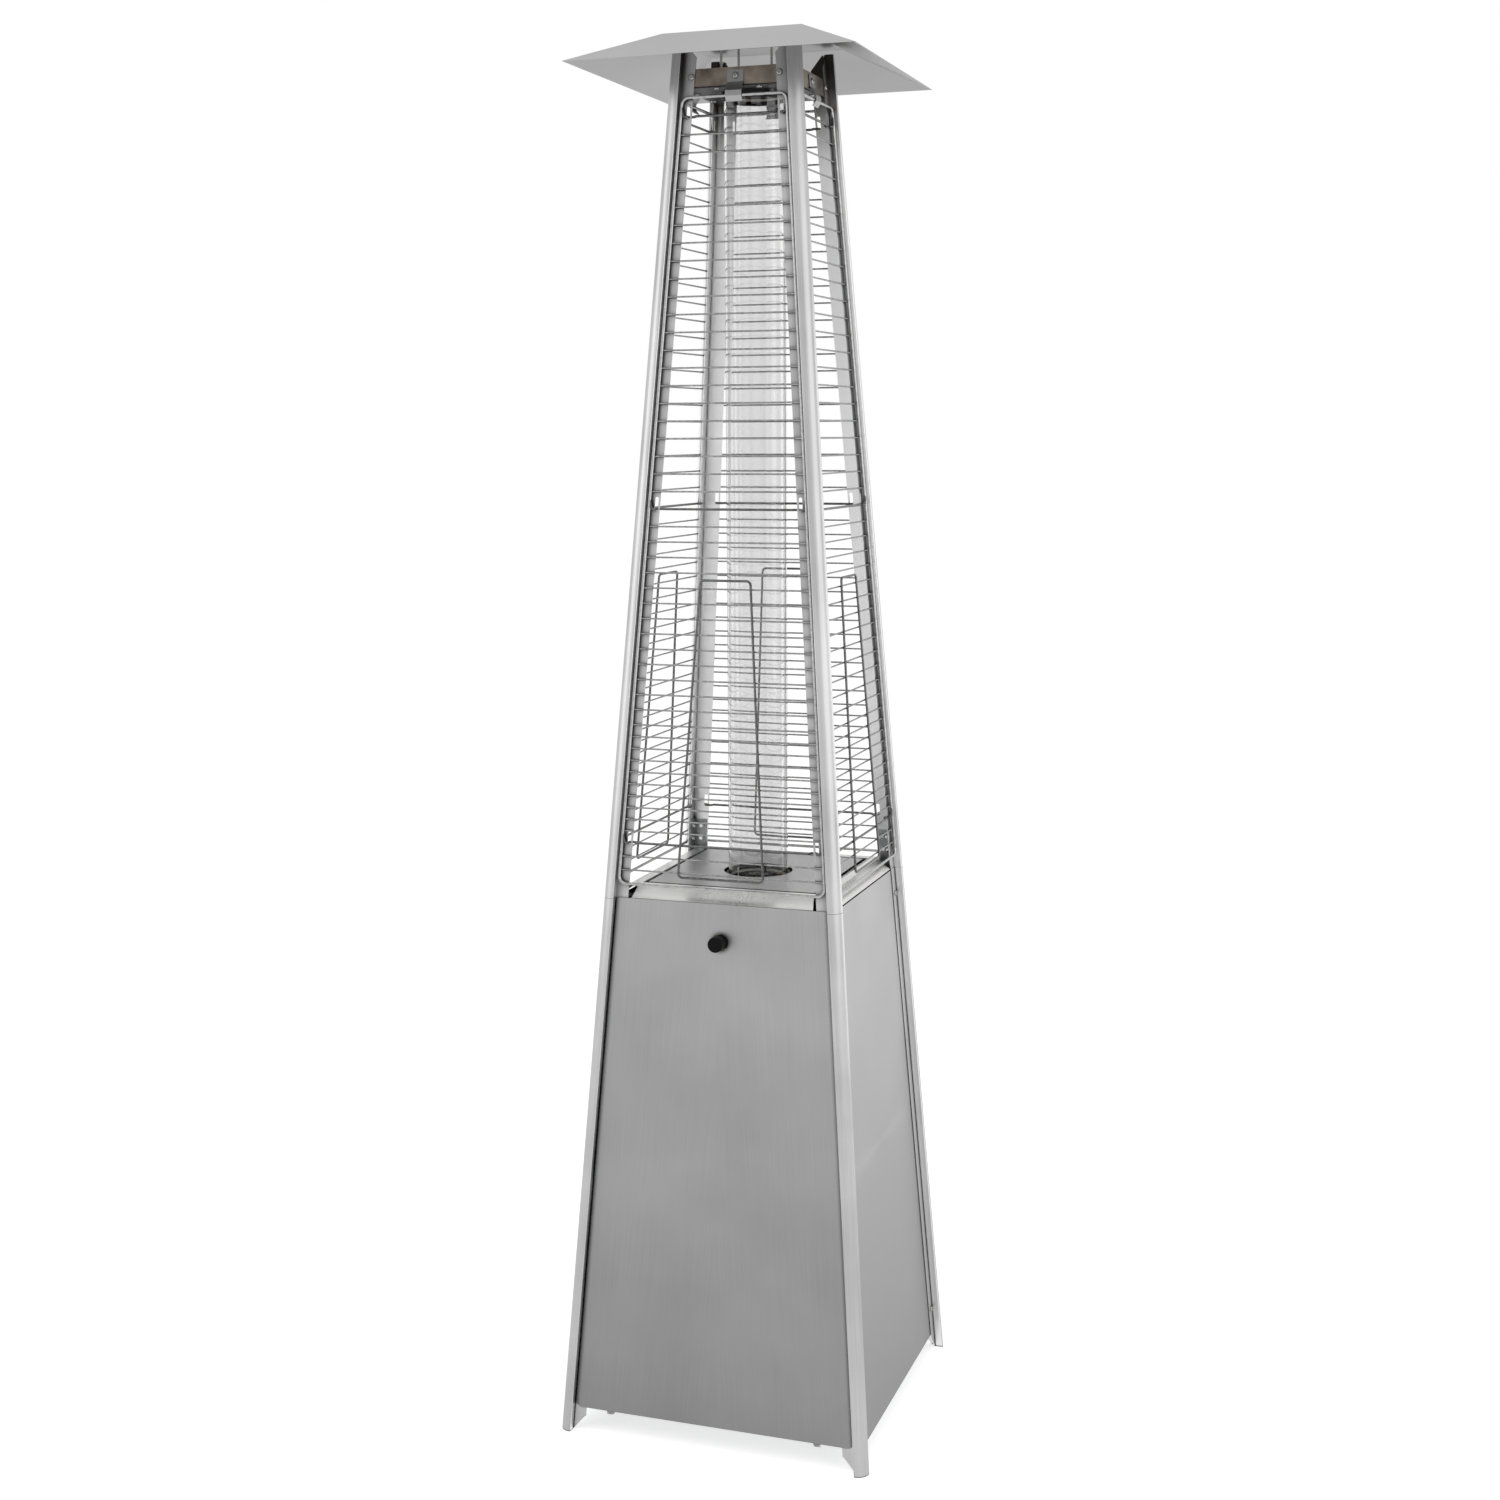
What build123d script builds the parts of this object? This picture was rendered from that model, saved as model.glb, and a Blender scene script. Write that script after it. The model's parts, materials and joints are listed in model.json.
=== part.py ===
from build123d import *
import os
from math import atan2, cos, degrees, radians, sin, sqrt

# Pyramid patio heater: four corner posts lean in towards a square hood.
# A quartz tube stands on the burner deck, behind a wire guard on each face.
# Below the deck a sheet metal cabinet holds the gas bottle, burner box and valve.
# The origin is on the floor under the tube, +Z is up and the door faces -Y.
# Depths are measured inwards from the plane that touches the post noses on a face,
# insets are measured along a face from the outer plane of the next face.

# Overall sizes
total_height = 2270.0
base_width = 535.6
head_width = 208.72
overrun = 3.0

# Corner posts
post_wall = 1.5
post_nose_radius = 19.0
post_step_radius = 2.0
post_flange_depth = 13.6
post_flange_reach = 42.0
post_seam_height = 903.5
post_seam_gap = 0.5
post_head_gap = 10.8
foot_cut_height = 24.0
post_chamfer_height = 25.0

# Splice brackets that join lower and upper posts
bracket_wall = 2.0
bracket_reach = 39.0
bracket_bottom = 870.0
bracket_top = 968.0
bracket_stud_inset = 31.0
bracket_stud_heights = (885.0, 935.0, 958.0)

# Screws, studs and nuts
screw_radius = 2.5
screw_head_radius = 4.5
screw_head_height = 2.6
screw_edge_radius = 1.6
screw_recess_radius = 1.7
screw_recess_depth = 1.3
screw_grip = 5.0
stud_end = 1.5
nut_width = 8.0
nut_height = 4.0
fixing_clearance = 0.2
thread_clearance = 0.05

# Side and back panels
panel_wall = 1.0
panel_bottom = 30.0
panel_top = 901.0
panel_inset = 27.0
panel_corner_radius = 14.0
panel_notch_clearance = 2.0
panel_fixing_inset = 30.0
panel_fixing_low = 77.0
panel_fixing_high = 858.0

# Door
door_wall = 1.2
door_flange_gap = 0.3
door_side_gap = 2.0
door_bottom = 39.5
door_top = 904.0
door_top_radius = 4.0
door_bottom_radius = 10.0
door_rib_place = 112.0
door_rib_width = 22.0
door_rib_depth = 8.0
door_rib_bottom = 70.0
door_rib_top = 780.0
knob_hole_clearance = 1.2

# Door hinge along the bottom edge
hinge_place = 180.0
hinge_set_back = 2.6
hinge_drop = 3.2
hinge_eye_radius = 3.3
hinge_pin_radius = 2.0
hinge_running_clearance = 0.08
hinge_ear_wall = 3.0
hinge_lug_wall = 2.5
hinge_side_gap = 0.5
hinge_fin_height = 28.0
hinge_fin_knee = 12.0
hinge_fin_depth = 6.0
hinge_head_radius = 3.2
hinge_head_height = 1.2
hinge_pin_end = 1.0

# Bottle tray
tray_wall = 1.5
tray_floor_height = 50.0
tray_rim_top = 92.0
tray_front_depth = 28.5
tray_front_drop = 17.0
tray_seat_radius = 165.0
tray_seat_rise = 2.0

# Burner box under the deck
box_inset = 51.9
box_wall = 1.2
box_bottom = 790.0
box_flange_inset = 35.4
box_tab_drop = 16.0
box_tab_start_inset = 55.4
box_tab_neck_inset = 25.4
box_tab_gap = 0.1
box_vent_width = 60.0
box_vent_height = 10.0
box_vent_inset = 39.5

# Deck and its sloping skirt
deck_height = 922.5
deck_wall = 1.5
deck_inset = 58.4
deck_hole_radius = 58.0
skirt_inner_inset = 51.4
skirt_outer_inset = 33.4
skirt_slope_run = 20.3
skirt_slope_drop = 18.3
skirt_end_top_inset = 51.4
skirt_end_bottom_inset = 46.4

# Burner plate and spacers
burner_plate_drop = 13.0
burner_plate_wall = 1.5
burner_plate_gap = 0.2
burner_plate_rim = 12.0
burner_plate_hole_radius = 42.0
spacer_inset = 23.0
spacer_radius = 5.0

# Burner
burner_cup_radius = 30.0
burner_cup_wall = 1.5
burner_cup_depth = 36.0
burner_flange_radius = 52.0
burner_flange_wall = 1.5
screen_gap = 0.2
screen_wall = 1.0
screen_rise = 11.0
screen_skirt = 4.0
screen_hole_radius = 2.0
screen_row_shares = (0.35, 0.6, 0.82)
screen_row_counts = (8, 14, 20)
screen_turn = 7.0
mixer_radius = 13.0
mixer_wall = 1.2
mixer_length = 57.0
mixer_air_radius = 4.5
mixer_air_height = 12.0
injector_radius = 7.0
injector_flange_wall = 2.0
injector_length = 15.0
injector_jet_radius = 1.0
fitting_place_radius = 36.5
fitting_hole_radius = 3.8
pilot_radius = 3.5
pilot_top = 919.0
pilot_length = 50.0
pilot_bore_radius = 2.0
collar_radius = 5.5
collar_height = 3.0
sensor_radius = 2.4
sensor_tip_radius = 1.6
sensor_length = 40.0
sensor_tip_length = 14.0
insulator_radius = 3.5
insulator_length = 38.0
electrode_radius = 1.0
electrode_rise = 15.0

# Glass tube, its seat and seals
tube_radius = 50.0
tube_wall = 2.5
tube_top_drop = 85.3
seat_inner_radius = 44.0
seat_outer_radius = 53.5
seat_base_wall = 2.5
seat_lip_radius = 51.0
seat_lip_height = 10.5
seal_height = 3.0
seal_inner_radius = 45.5
seal_outer_radius = 50.6

# Tube holder, crossbars and clips under the hood
crossbar_wall = 1.5
crossbar_drop = 80.0
crossbar_height = 27.0
crossbar_end_inset = 24.0
crossbar_ledge = 20.0
crossbar_ledge_inset = 38.0
crossbar_screw_drop = 65.0
crossbar_screw_inset = 36.5
holder_wall = 2.0
holder_inset = 18.1
holder_corner = 22.0
holder_collar_radius = 51.0
holder_collar_wall = 2.0
holder_collar_drop = 10.0
holder_hole_radius = 46.0
holder_bolt_spread = 35.0
clip_width = 27.0
clip_wall = 1.2
clip_top_drop = 57.5
clip_bend_drop = 76.0
clip_shoulder_drop = 90.0
clip_toe_drop = 98.0
clip_hook_drop = 106.0
clip_front_depth = 5.2
clip_hook_depth = 11.5
clip_screw_drop = 66.0

# Hood
hood_wall = 1.2
hood_rim_drop = 53.0
hood_top_overhang = 9.24
hood_rim_overhang = 119.9
hood_stud_radius = 2.0
hood_stud_place = 42.0
hood_stud_tail = 8.0
hood_nut_width = 7.0
hood_nut_height = 3.2

# Wire guards
guard_frame_radius = 2.5
guard_bar_radius = 1.4
guard_rod_radius = 2.0
guard_loop_radius = 2.0
guard_frame_depth = 8.6
guard_bar_depth = 10.9
guard_loop_depth = 8.1
guard_frame_inset = 25.5
guard_bottom = 928.0
guard_top_drop = 97.0
guard_corner_radius = 12.0
guard_top_rod_drop = 126.0
guard_middle_share = 0.4863
guard_lower_rod = 995.0
guard_change_share = 0.2083
guard_upper_gaps = 22
guard_middle_gaps = 13
guard_lower_gaps = 10
guard_foot_gaps = 3
guard_loop_bottom = 944.0
guard_loop_share = 0.3964
guard_loop_bottom_half = 72.5
guard_loop_top_half = 42.0
guard_loop_corner_radius = 7.0
rod_leg = 17.0
rod_bend_radius = 2.7
rod_step_inset = 48.0
slot_width = 6.0
slot_height = 22.0
slot_inset = 36.0
slot_rod_gap = 0.3

# Gas valve and control knob
knob_height = 842.0
knob_radius = 12.5
knob_stand = 24.5
knob_tail = 2.5
knob_edge = 0.8
knob_bore_depth = 18.0
spindle_radius = 4.0
spindle_running_clearance = 0.05
spindle_length = 46.0
push_travel = 3.0
valve_nose_gap = 7.0
valve_nose_radius = 11.0
valve_nose_length = 5.0
valve_body_width = 44.0
valve_body_height = 30.0
valve_body_depth = 32.0
valve_nut_radius = 15.0
valve_nut_height = 3.0
valve_bracket_wall = 1.5
valve_bracket_width = 60.0
valve_bracket_height = 40.0
valve_foot_width = 12.0
valve_foot_height = 14.0
inlet_hex_radius = 8.0
inlet_hex_length = 10.0
inlet_nozzle_radius = 5.5
inlet_nozzle_length = 24.0
inlet_groove_depth = 0.8
inlet_groove_pitch = 6.0
inlet_bore_radius = 3.0

# Rigid gas tubes inside the cabinet
gas_tube_radius = 3.0
gas_tube_bend = 8.0
gas_tube_place = 40.0
gas_tube_drop = 34.0
pilot_tube_radius = 2.0
pilot_tube_bend = 6.0
pilot_tube_place = 56.0
pilot_tube_back = 35.0
pilot_tube_rise = 6.0
tube_hole_clearance = 0.6

# Door catches and tilt switch
catch_place = 95.0
catch_height = 880.0
catch_width = 30.0
catch_wall = 1.5
catch_foot = 20.0
magnet_depth = 12.0
magnet_height = 12.0
catch_gap = 0.5
switch_width = 34.0
switch_depth = 20.0
switch_height = 24.0
switch_bottom = 800.0
switch_edge = 2.0

# Worked out sizes
base_half = base_width / 2
taper_share = (base_width - head_width) / (2 * total_height)
face_stretch = sqrt(1 + taper_share**2)
corner_stretch = sqrt(1 + 2 * taper_share**2)
post_nose_width = post_nose_radius + post_step_radius
flange_back = post_flange_depth + post_wall
panel_back = flange_back + panel_wall
bracket_back = flange_back + bracket_wall
post_top = total_height - hood_wall - post_head_gap
door_front_depth = post_flange_depth - door_flange_gap - door_wall
door_back_depth = door_front_depth + door_wall
hinge_height = door_bottom - hinge_drop
hinge_depth = door_back_depth + hinge_set_back
fixing_hole_radius = screw_radius + fixing_clearance
deck_reach = base_half - taper_share * deck_height
deck_half = deck_reach - deck_inset
skirt_inner_half = deck_reach - skirt_inner_inset
skirt_outer_half = deck_reach - skirt_outer_inset
skirt_end_top = deck_reach - skirt_end_top_inset
skirt_end_bottom = deck_reach - skirt_end_bottom_inset
spacer_place = deck_half - spacer_inset
box_half = deck_reach - box_inset
box_flange_half = deck_reach - box_flange_inset
box_tab_start = deck_reach - box_tab_start_inset
box_tab_neck = deck_reach - box_tab_neck_inset
box_vent_place = box_half - box_vent_inset
box_top = deck_height - deck_wall
burner_plate_bottom = box_top - burner_plate_drop
burner_plate_top = burner_plate_bottom + burner_plate_wall
seat_top = burner_plate_top + seat_base_wall
crossbar_bottom = total_height - crossbar_drop
crossbar_screw_height = total_height - crossbar_screw_drop
holder_half = base_half - taper_share * crossbar_bottom - holder_inset
clip_depth = flange_back - clip_wall * face_stretch / 2
clip_top = total_height - clip_top_drop
clip_bend = total_height - clip_bend_drop
clip_shoulder = total_height - clip_shoulder_drop
clip_toe = total_height - clip_toe_drop
clip_hook_bottom = total_height - clip_hook_drop
clip_screw_height = total_height - clip_screw_drop
hood_rim_height = total_height - hood_rim_drop
hood_top_half = head_width / 2 + hood_top_overhang
hood_rim_half = hood_top_half + hood_rim_overhang
guard_top = total_height - guard_top_drop
guard_top_rod = total_height - guard_top_rod_drop
guard_middle_rod = guard_bottom + guard_middle_share * (guard_top - guard_bottom)
guard_change_height = guard_bottom + guard_change_share * (guard_top - guard_bottom)
guard_loop_top = guard_bottom + guard_loop_share * (guard_top - guard_bottom)
tube_top = total_height - tube_top_drop
tube_bottom = seat_top + seal_height
knob_hole_radius = knob_radius + knob_hole_clearance

SIDES = (("front", 0), ("right", 90), ("back", 180), ("left", 270))
CORNERS = (("front_right", 0), ("back_right", 90), ("back_left", 180), ("front_left", 270))


def nose_half(height):
    """Half the width across the post noses at a height."""
    return base_half - taper_share * height


def face_plane(depth, height, turn=0):
    """Plane of one leaning face, x along the face and y up its slope."""
    angle = radians(turn)
    reach = nose_half(height) - depth
    return Plane(
        origin=(reach * sin(angle), -reach * cos(angle), height),
        x_dir=(cos(angle), sin(angle), 0),
        z_dir=(sin(angle), -cos(angle), taper_share),
    )


def face_rise(height, start):
    """Distance up the slope of a face from one height to another."""
    return (height - start) * face_stretch


def front_point(x, depth, height):
    """Point at a depth behind the front face."""
    return (x, -(nose_half(height) - depth), height)


def fixing_plane(height, turn, x, depth=post_flange_depth, inwards=False):
    """Plane across a fixing whose axis starts at a height on the flanges' outer plane."""
    base = face_plane(post_flange_depth, height, turn)
    drop = (depth - post_flange_depth) / face_stretch
    normal = -base.z_dir if inwards else base.z_dir
    origin = base.from_local_coords((x, 0, -drop))
    return Plane(origin=origin, x_dir=base.x_dir, z_dir=normal)


def write(builder, label):
    """Label a finished piece and write it."""
    builder.part.label = label
    export_step(builder.part, f"parts/{label}.step")


def write_turned(builder, label, turn):
    """Write a copy of a piece turned about the heater's axis."""
    with BuildPart() as turned:
        add(builder.part, rotation=(0, 0, turn))
    write(turned, label)


def post_outline(height):
    """Section of the front right post: two flanges and a rounded nose."""
    half = nose_half(height)

    def place(inset_x, inset_y):
        return (half - inset_x, inset_y - half)

    def rounded(radius_nose, radius_step, lift, flange):
        nose = post_nose_radius
        step_x = nose + radius_step
        Line(place(post_flange_reach, flange), place(step_x, flange))
        Line(place(step_x, flange), place(step_x, post_step_radius))
        RadiusArc(place(step_x, post_step_radius), place(nose, lift), -radius_step)
        RadiusArc(place(nose, lift), place(lift, nose), -radius_nose)
        RadiusArc(place(lift, nose), place(post_step_radius, step_x), -radius_step)
        Line(place(post_step_radius, step_x), place(flange, step_x))
        Line(place(flange, step_x), place(flange, post_flange_reach))

    inner_step = post_step_radius - post_wall
    rounded(post_nose_radius, post_step_radius, 0, post_flange_depth)
    rounded(post_nose_radius - post_wall, inner_step, post_wall, flange_back)
    Line(
        place(post_flange_reach, post_flange_depth),
        place(post_flange_reach, flange_back),
    )
    Line(
        place(post_flange_depth, post_flange_reach),
        place(flange_back, post_flange_reach),
    )


def post_blank(bottom, top):
    """Extrude the post section between two heights, leaning inwards."""
    with BuildSketch(Plane.XY.offset(bottom)) as outline:
        with BuildLine():
            post_outline(bottom)
        make_face()
    extrude(
        outline.sketch,
        amount=(top - bottom) * corner_stretch,
        dir=(-taper_share, taper_share, 1),
    )


def flange_sides():
    """The two flanges of the front right post as face turn and side sign."""
    return ((0, 1), (90, -1))


def cut_flange_corner(height, reach_height, direction):
    """Cut the free corner of both flanges, upwards from a foot or down from a top."""
    for turn, side in flange_sides():
        inner = side * (nose_half(height) - post_flange_reach - overrun)
        outer = side * (nose_half(height) - post_nose_width)
        edge = side * (nose_half(height) - post_flange_reach)
        with BuildSketch(face_plane(post_flange_depth - overrun / 2, height, turn)) as outline:
            with BuildLine():
                Polyline(
                    (outer, 0),
                    (edge, direction * reach_height),
                    (inner, direction * reach_height),
                    (inner, -direction * overrun),
                    (outer, -direction * overrun),
                    close=True,
                )
            make_face()
        extrude(outline.sketch, amount=-(post_wall + overrun), mode=Mode.SUBTRACT)


def add_studs(heights, inset, sides):
    """Weld threaded studs to the back of the flanges."""
    length = bracket_wall + nut_height + stud_end
    for turn, side in sides:
        for height in heights:
            place = side * (nose_half(height) - inset)
            with BuildSketch(fixing_plane(height, turn, place, flange_back)) as outline:
                Circle(screw_radius)
            extrude(outline.sketch, amount=-length)


def cut_fixing_holes(heights, inset, sides, depth, wall):
    """Drill fixing holes through a sheet that lies along the faces."""
    for turn, side in sides:
        for height in heights:
            place = side * (nose_half(height) - inset)
            with BuildSketch(fixing_plane(height, turn, place, depth - overrun / 2)) as outline:
                Circle(fixing_hole_radius)
            extrude(outline.sketch, amount=-(wall + overrun), mode=Mode.SUBTRACT)


def cut_guard_slots():
    """Cut the slots that take the guard rods in both flanges."""
    lean = 90 + degrees_of_lean()
    for turn, side in flange_sides():
        for rod in (guard_top_rod, guard_middle_rod, guard_lower_rod):
            height = rod - guard_rod_radius - slot_rod_gap + slot_height / 2
            place = side * (nose_half(height) - slot_inset)
            with BuildSketch(face_plane(post_flange_depth - overrun / 2, height, turn)) as outline:
                with Locations((place, 0)):
                    SlotOverall(slot_height, slot_width, rotation=side * lean)
            extrude(outline.sketch, amount=-(post_wall + overrun), mode=Mode.SUBTRACT)


def degrees_of_lean():
    """Lean of a post edge within its face, in degrees."""
    return Vector(0, 1).get_angle(Vector(taper_share, 1))


def lower_post(label, turn, studs, screws):
    """Build one lower post with studs or screw holes for the panels."""
    with BuildPart() as post:
        post_blank(0, post_seam_height - post_seam_gap / 2)
        cut_flange_corner(0, foot_cut_height, 1)
        add_studs(bracket_stud_heights[:1], bracket_stud_inset, flange_sides())
        fixings = (panel_fixing_low, panel_fixing_high)
        add_studs(fixings, panel_fixing_inset, studs)
        cut_fixing_holes(fixings, panel_fixing_inset, screws, post_flange_depth, post_wall)
    write_turned(post, label, turn)


def upper_post():
    """Build the front right upper post."""
    with BuildPart() as post:
        post_blank(post_seam_height + post_seam_gap / 2, post_top)
        cut_flange_corner(post_top, post_chamfer_height, -1)
        add_studs(bracket_stud_heights[1:], bracket_stud_inset, flange_sides())
        cut_guard_slots()
        cut_fixing_holes(
            (crossbar_screw_height,),
            crossbar_screw_inset,
            flange_sides(),
            post_flange_depth,
            post_wall,
        )
    return post


def splice_bracket():
    """Build the angle that joins the front right posts from inside."""
    half = nose_half(bracket_bottom)

    def place(inset_x, inset_y):
        return (half - inset_x, inset_y - half)

    with BuildPart() as bracket:
        with BuildSketch(Plane.XY.offset(bracket_bottom)):
            with BuildLine():
                Polyline(
                    place(flange_back, flange_back),
                    place(bracket_reach, flange_back),
                    place(bracket_reach, bracket_back),
                    place(bracket_back, bracket_back),
                    place(bracket_back, bracket_reach),
                    place(flange_back, bracket_reach),
                    close=True,
                )
            make_face()
        extrude(
            amount=(bracket_top - bracket_bottom) * corner_stretch,
            dir=(-taper_share, taper_share, 1),
        )
        cut_fixing_holes(
            bracket_stud_heights,
            bracket_stud_inset,
            flange_sides(),
            flange_back,
            bracket_wall,
        )
    return bracket


def panel(label, turn):
    """Build one cabinet panel that lies behind the post flanges."""
    notch_height = bracket_bottom - panel_notch_clearance
    notch_inset = bracket_reach + panel_notch_clearance
    with BuildPart() as sheet:
        with BuildSketch(face_plane(flange_back, panel_bottom, turn)) as outline:
            with BuildLine():
                half_shape = (
                    (nose_half(panel_bottom) - panel_inset, panel_bottom),
                    (nose_half(notch_height) - panel_inset, notch_height),
                    (nose_half(notch_height) - notch_inset, notch_height),
                    (nose_half(panel_top) - notch_inset, panel_top),
                )
                right = [(x, face_rise(z, panel_bottom)) for x, z in half_shape]
                left = [(-x, y) for x, y in reversed(right)]
                Polyline(*right, *left, close=True)
            make_face()
            low_corners = outline.vertices().group_by(Axis.Y)[0]
            fillet(low_corners, panel_corner_radius)
        extrude(amount=-panel_wall / face_stretch)
        cut_fixing_holes(
            (panel_fixing_low, panel_fixing_high),
            panel_fixing_inset,
            ((turn, 1), (turn, -1)),
            flange_back,
            panel_wall,
        )
    write(sheet, label)


def hinge_eye(place, wall):
    """Start one hinge eye across X and return its plane."""
    return Plane.YZ.offset(place - wall / 2)


def door_panel():
    """Build the door: a flat sheet with two ribs and two hinge ears."""
    inset = post_nose_width + door_side_gap
    low = nose_half(door_bottom) - inset
    high = nose_half(door_top) - inset
    rise = face_rise(door_top, door_bottom)
    knob_rise = face_rise(knob_height, door_bottom)
    rib_low = face_rise(door_rib_bottom, door_bottom)
    rib_high = face_rise(door_rib_top, door_bottom)
    rib_middle = (rib_low + rib_high) / 2
    with BuildPart() as door:
        with BuildSketch(face_plane(door_front_depth, door_bottom)) as outline:
            with BuildLine():
                Polyline((-low, 0), (low, 0), (high, rise), (-high, rise), close=True)
            make_face()
            corners = outline.vertices()
            fillet(corners.group_by(Axis.Y)[0], door_bottom_radius)
            fillet(outline.vertices().group_by(Axis.Y)[-1], door_top_radius)
            with Locations((0, knob_rise)):
                Circle(knob_hole_radius, mode=Mode.SUBTRACT)
        extrude(amount=-door_wall / face_stretch)
        with BuildSketch(face_plane(door_back_depth, door_bottom)):
            with Locations((-door_rib_place, rib_middle), (door_rib_place, rib_middle)):
                Rectangle(door_rib_width, rib_high - rib_low)
                offset(amount=-door_wall, mode=Mode.SUBTRACT)
        extrude(amount=-door_rib_depth)
        for side in (-1, 1):
            with BuildSketch(hinge_eye(side * hinge_place, hinge_ear_wall)):
                with BuildLine():
                    fin = (
                        (hinge_depth - hinge_eye_radius, hinge_height),
                        (door_back_depth - door_wall / 2, door_bottom + door_wall / 2),
                        (door_back_depth - door_wall / 2, hinge_height + hinge_fin_height),
                        (hinge_depth, hinge_height + hinge_fin_height),
                        (hinge_depth + hinge_eye_radius, hinge_height + hinge_fin_knee),
                        (hinge_depth + hinge_eye_radius, hinge_height),
                    )
                    Polyline(*[front_point(0, d, z)[1:] for d, z in fin], close=True)
                make_face()
                with Locations(front_point(0, hinge_depth, hinge_height)[1:]):
                    Circle(hinge_eye_radius)
                    Circle(
                        hinge_pin_radius + hinge_running_clearance,
                        mode=Mode.SUBTRACT,
                    )
            extrude(amount=hinge_ear_wall)
    write(door, "door_panel")


def bottle_tray():
    """Build the tray that carries the bottle, with the hinge lugs on its front edge."""
    floor_half = nose_half(tray_floor_height + tray_wall) - panel_back
    front = nose_half(tray_floor_height) - tray_front_depth
    rim_rise = face_rise(tray_rim_top, tray_floor_height)
    top_half = nose_half(tray_rim_top) - panel_back
    lug_step = hinge_ear_wall / 2 + hinge_side_gap + hinge_lug_wall / 2
    with BuildPart() as tray:
        with BuildSketch(Plane.XY.offset(tray_floor_height)):
            with BuildLine():
                Polyline(
                    (-floor_half, -front),
                    (floor_half, -front),
                    (floor_half, floor_half),
                    (-floor_half, floor_half),
                    close=True,
                )
            make_face()
        extrude(amount=tray_wall)
        for turn in (90, 180, 270):
            with BuildSketch(face_plane(panel_back, tray_floor_height, turn)):
                with BuildLine():
                    Polyline(
                        (-floor_half, 0),
                        (floor_half, 0),
                        (top_half, rim_rise),
                        (-top_half, rim_rise),
                        close=True,
                    )
                make_face()
            extrude(amount=-tray_wall / face_stretch)
        with BuildSketch(Plane.XY.offset(tray_floor_height + tray_wall)):
            with Locations((0, -front)):
                Rectangle(2 * base_half, tray_front_depth, align=(Align.CENTER, Align.MAX))
        extrude(amount=tray_rim_top, mode=Mode.SUBTRACT)
        with BuildSketch(Plane.XY.offset(tray_floor_height)):
            Circle(tray_seat_radius)
        extrude(amount=tray_wall + tray_seat_rise)
        with BuildSketch(Plane.XY.offset(tray_floor_height)):
            Circle(tray_seat_radius - tray_wall)
        extrude(amount=tray_seat_rise, mode=Mode.SUBTRACT)
        lug_span = nose_half(tray_floor_height) - post_flange_reach - overrun
        with BuildSketch(Plane.XY.offset(tray_floor_height)):
            with Locations((0, -front)):
                Rectangle(2 * lug_span, tray_wall, align=(Align.CENTER, Align.MIN))
        extrude(amount=-tray_front_drop)
        for side in (-1, 1):
            for step in (-lug_step, lug_step):
                with BuildSketch(hinge_eye(side * hinge_place + step, hinge_lug_wall)):
                    pivot = front_point(0, hinge_depth, hinge_height)[1:]
                    with Locations(pivot):
                        Circle(hinge_eye_radius)
                        Rectangle(
                            tray_front_depth - hinge_depth + tray_wall,
                            2 * hinge_eye_radius,
                            align=(Align.MIN, Align.CENTER),
                        )
                        Circle(hinge_pin_radius + thread_clearance, mode=Mode.SUBTRACT)
                extrude(amount=hinge_lug_wall)
        cut_fixing_holes(
            (panel_fixing_low,),
            panel_fixing_inset,
            [(turn, side) for turn in (90, 180, 270) for side in (-1, 1)],
            panel_back,
            tray_wall,
        )
    write(tray, "bottle_tray")


def hinge_pins():
    """Build the two headed hinge pins, heads outwards."""
    half = hinge_ear_wall / 2 + hinge_side_gap + hinge_lug_wall
    pivot = front_point(0, hinge_depth, hinge_height)[1:]
    with BuildPart() as pins:
        for side in (-1, 1):
            with BuildSketch(Plane.YZ.offset(side * (hinge_place - half - hinge_pin_end))):
                with Locations(pivot):
                    Circle(hinge_pin_radius)
            extrude(amount=side * (2 * half + hinge_pin_end))
            with BuildSketch(Plane.YZ.offset(side * (hinge_place + half))):
                with Locations(pivot):
                    Circle(hinge_head_radius)
            extrude(amount=side * hinge_head_height)
    write(pins, "door_hinge_pins")


def pan_screw(grip):
    """Build one pan head screw along Z with its head above the origin."""
    with BuildPart() as screw:
        with BuildSketch():
            Circle(screw_head_radius)
        extrude(amount=screw_head_height)
        fillet(screw.edges().group_by(Axis.Z)[-1], screw_edge_radius)
        with BuildSketch(Plane.XY.offset(screw_head_height)):
            RegularPolygon(screw_recess_radius, 6)
        extrude(amount=-screw_recess_depth, mode=Mode.SUBTRACT)
        with BuildSketch():
            Circle(screw_radius)
        extrude(amount=-grip)
    return screw


def hex_nut(width, height, bore):
    """Build one hexagonal nut that stands on the origin plane."""
    with BuildPart() as nut:
        with BuildSketch():
            RegularPolygon(width / 2, 6, major_radius=False)
            Circle(bore + thread_clearance, mode=Mode.SUBTRACT)
        extrude(amount=height)
    return nut


def write_group(piece, planes, label):
    """Write copies of one fastener at several places as one node."""
    with BuildPart() as group:
        with Locations(*[place.location for place in planes]):
            add(piece.part)
    write(group, label)


def fixing_planes(heights, inset, sides, depth=post_flange_depth, inwards=False):
    """Fastener planes near the ends of several faces."""
    planes = []
    for height in heights:
        reach = nose_half(height) - inset
        for turn, side in sides:
            planes.append(fixing_plane(height, turn, side * reach, depth, inwards))
    return planes


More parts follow.
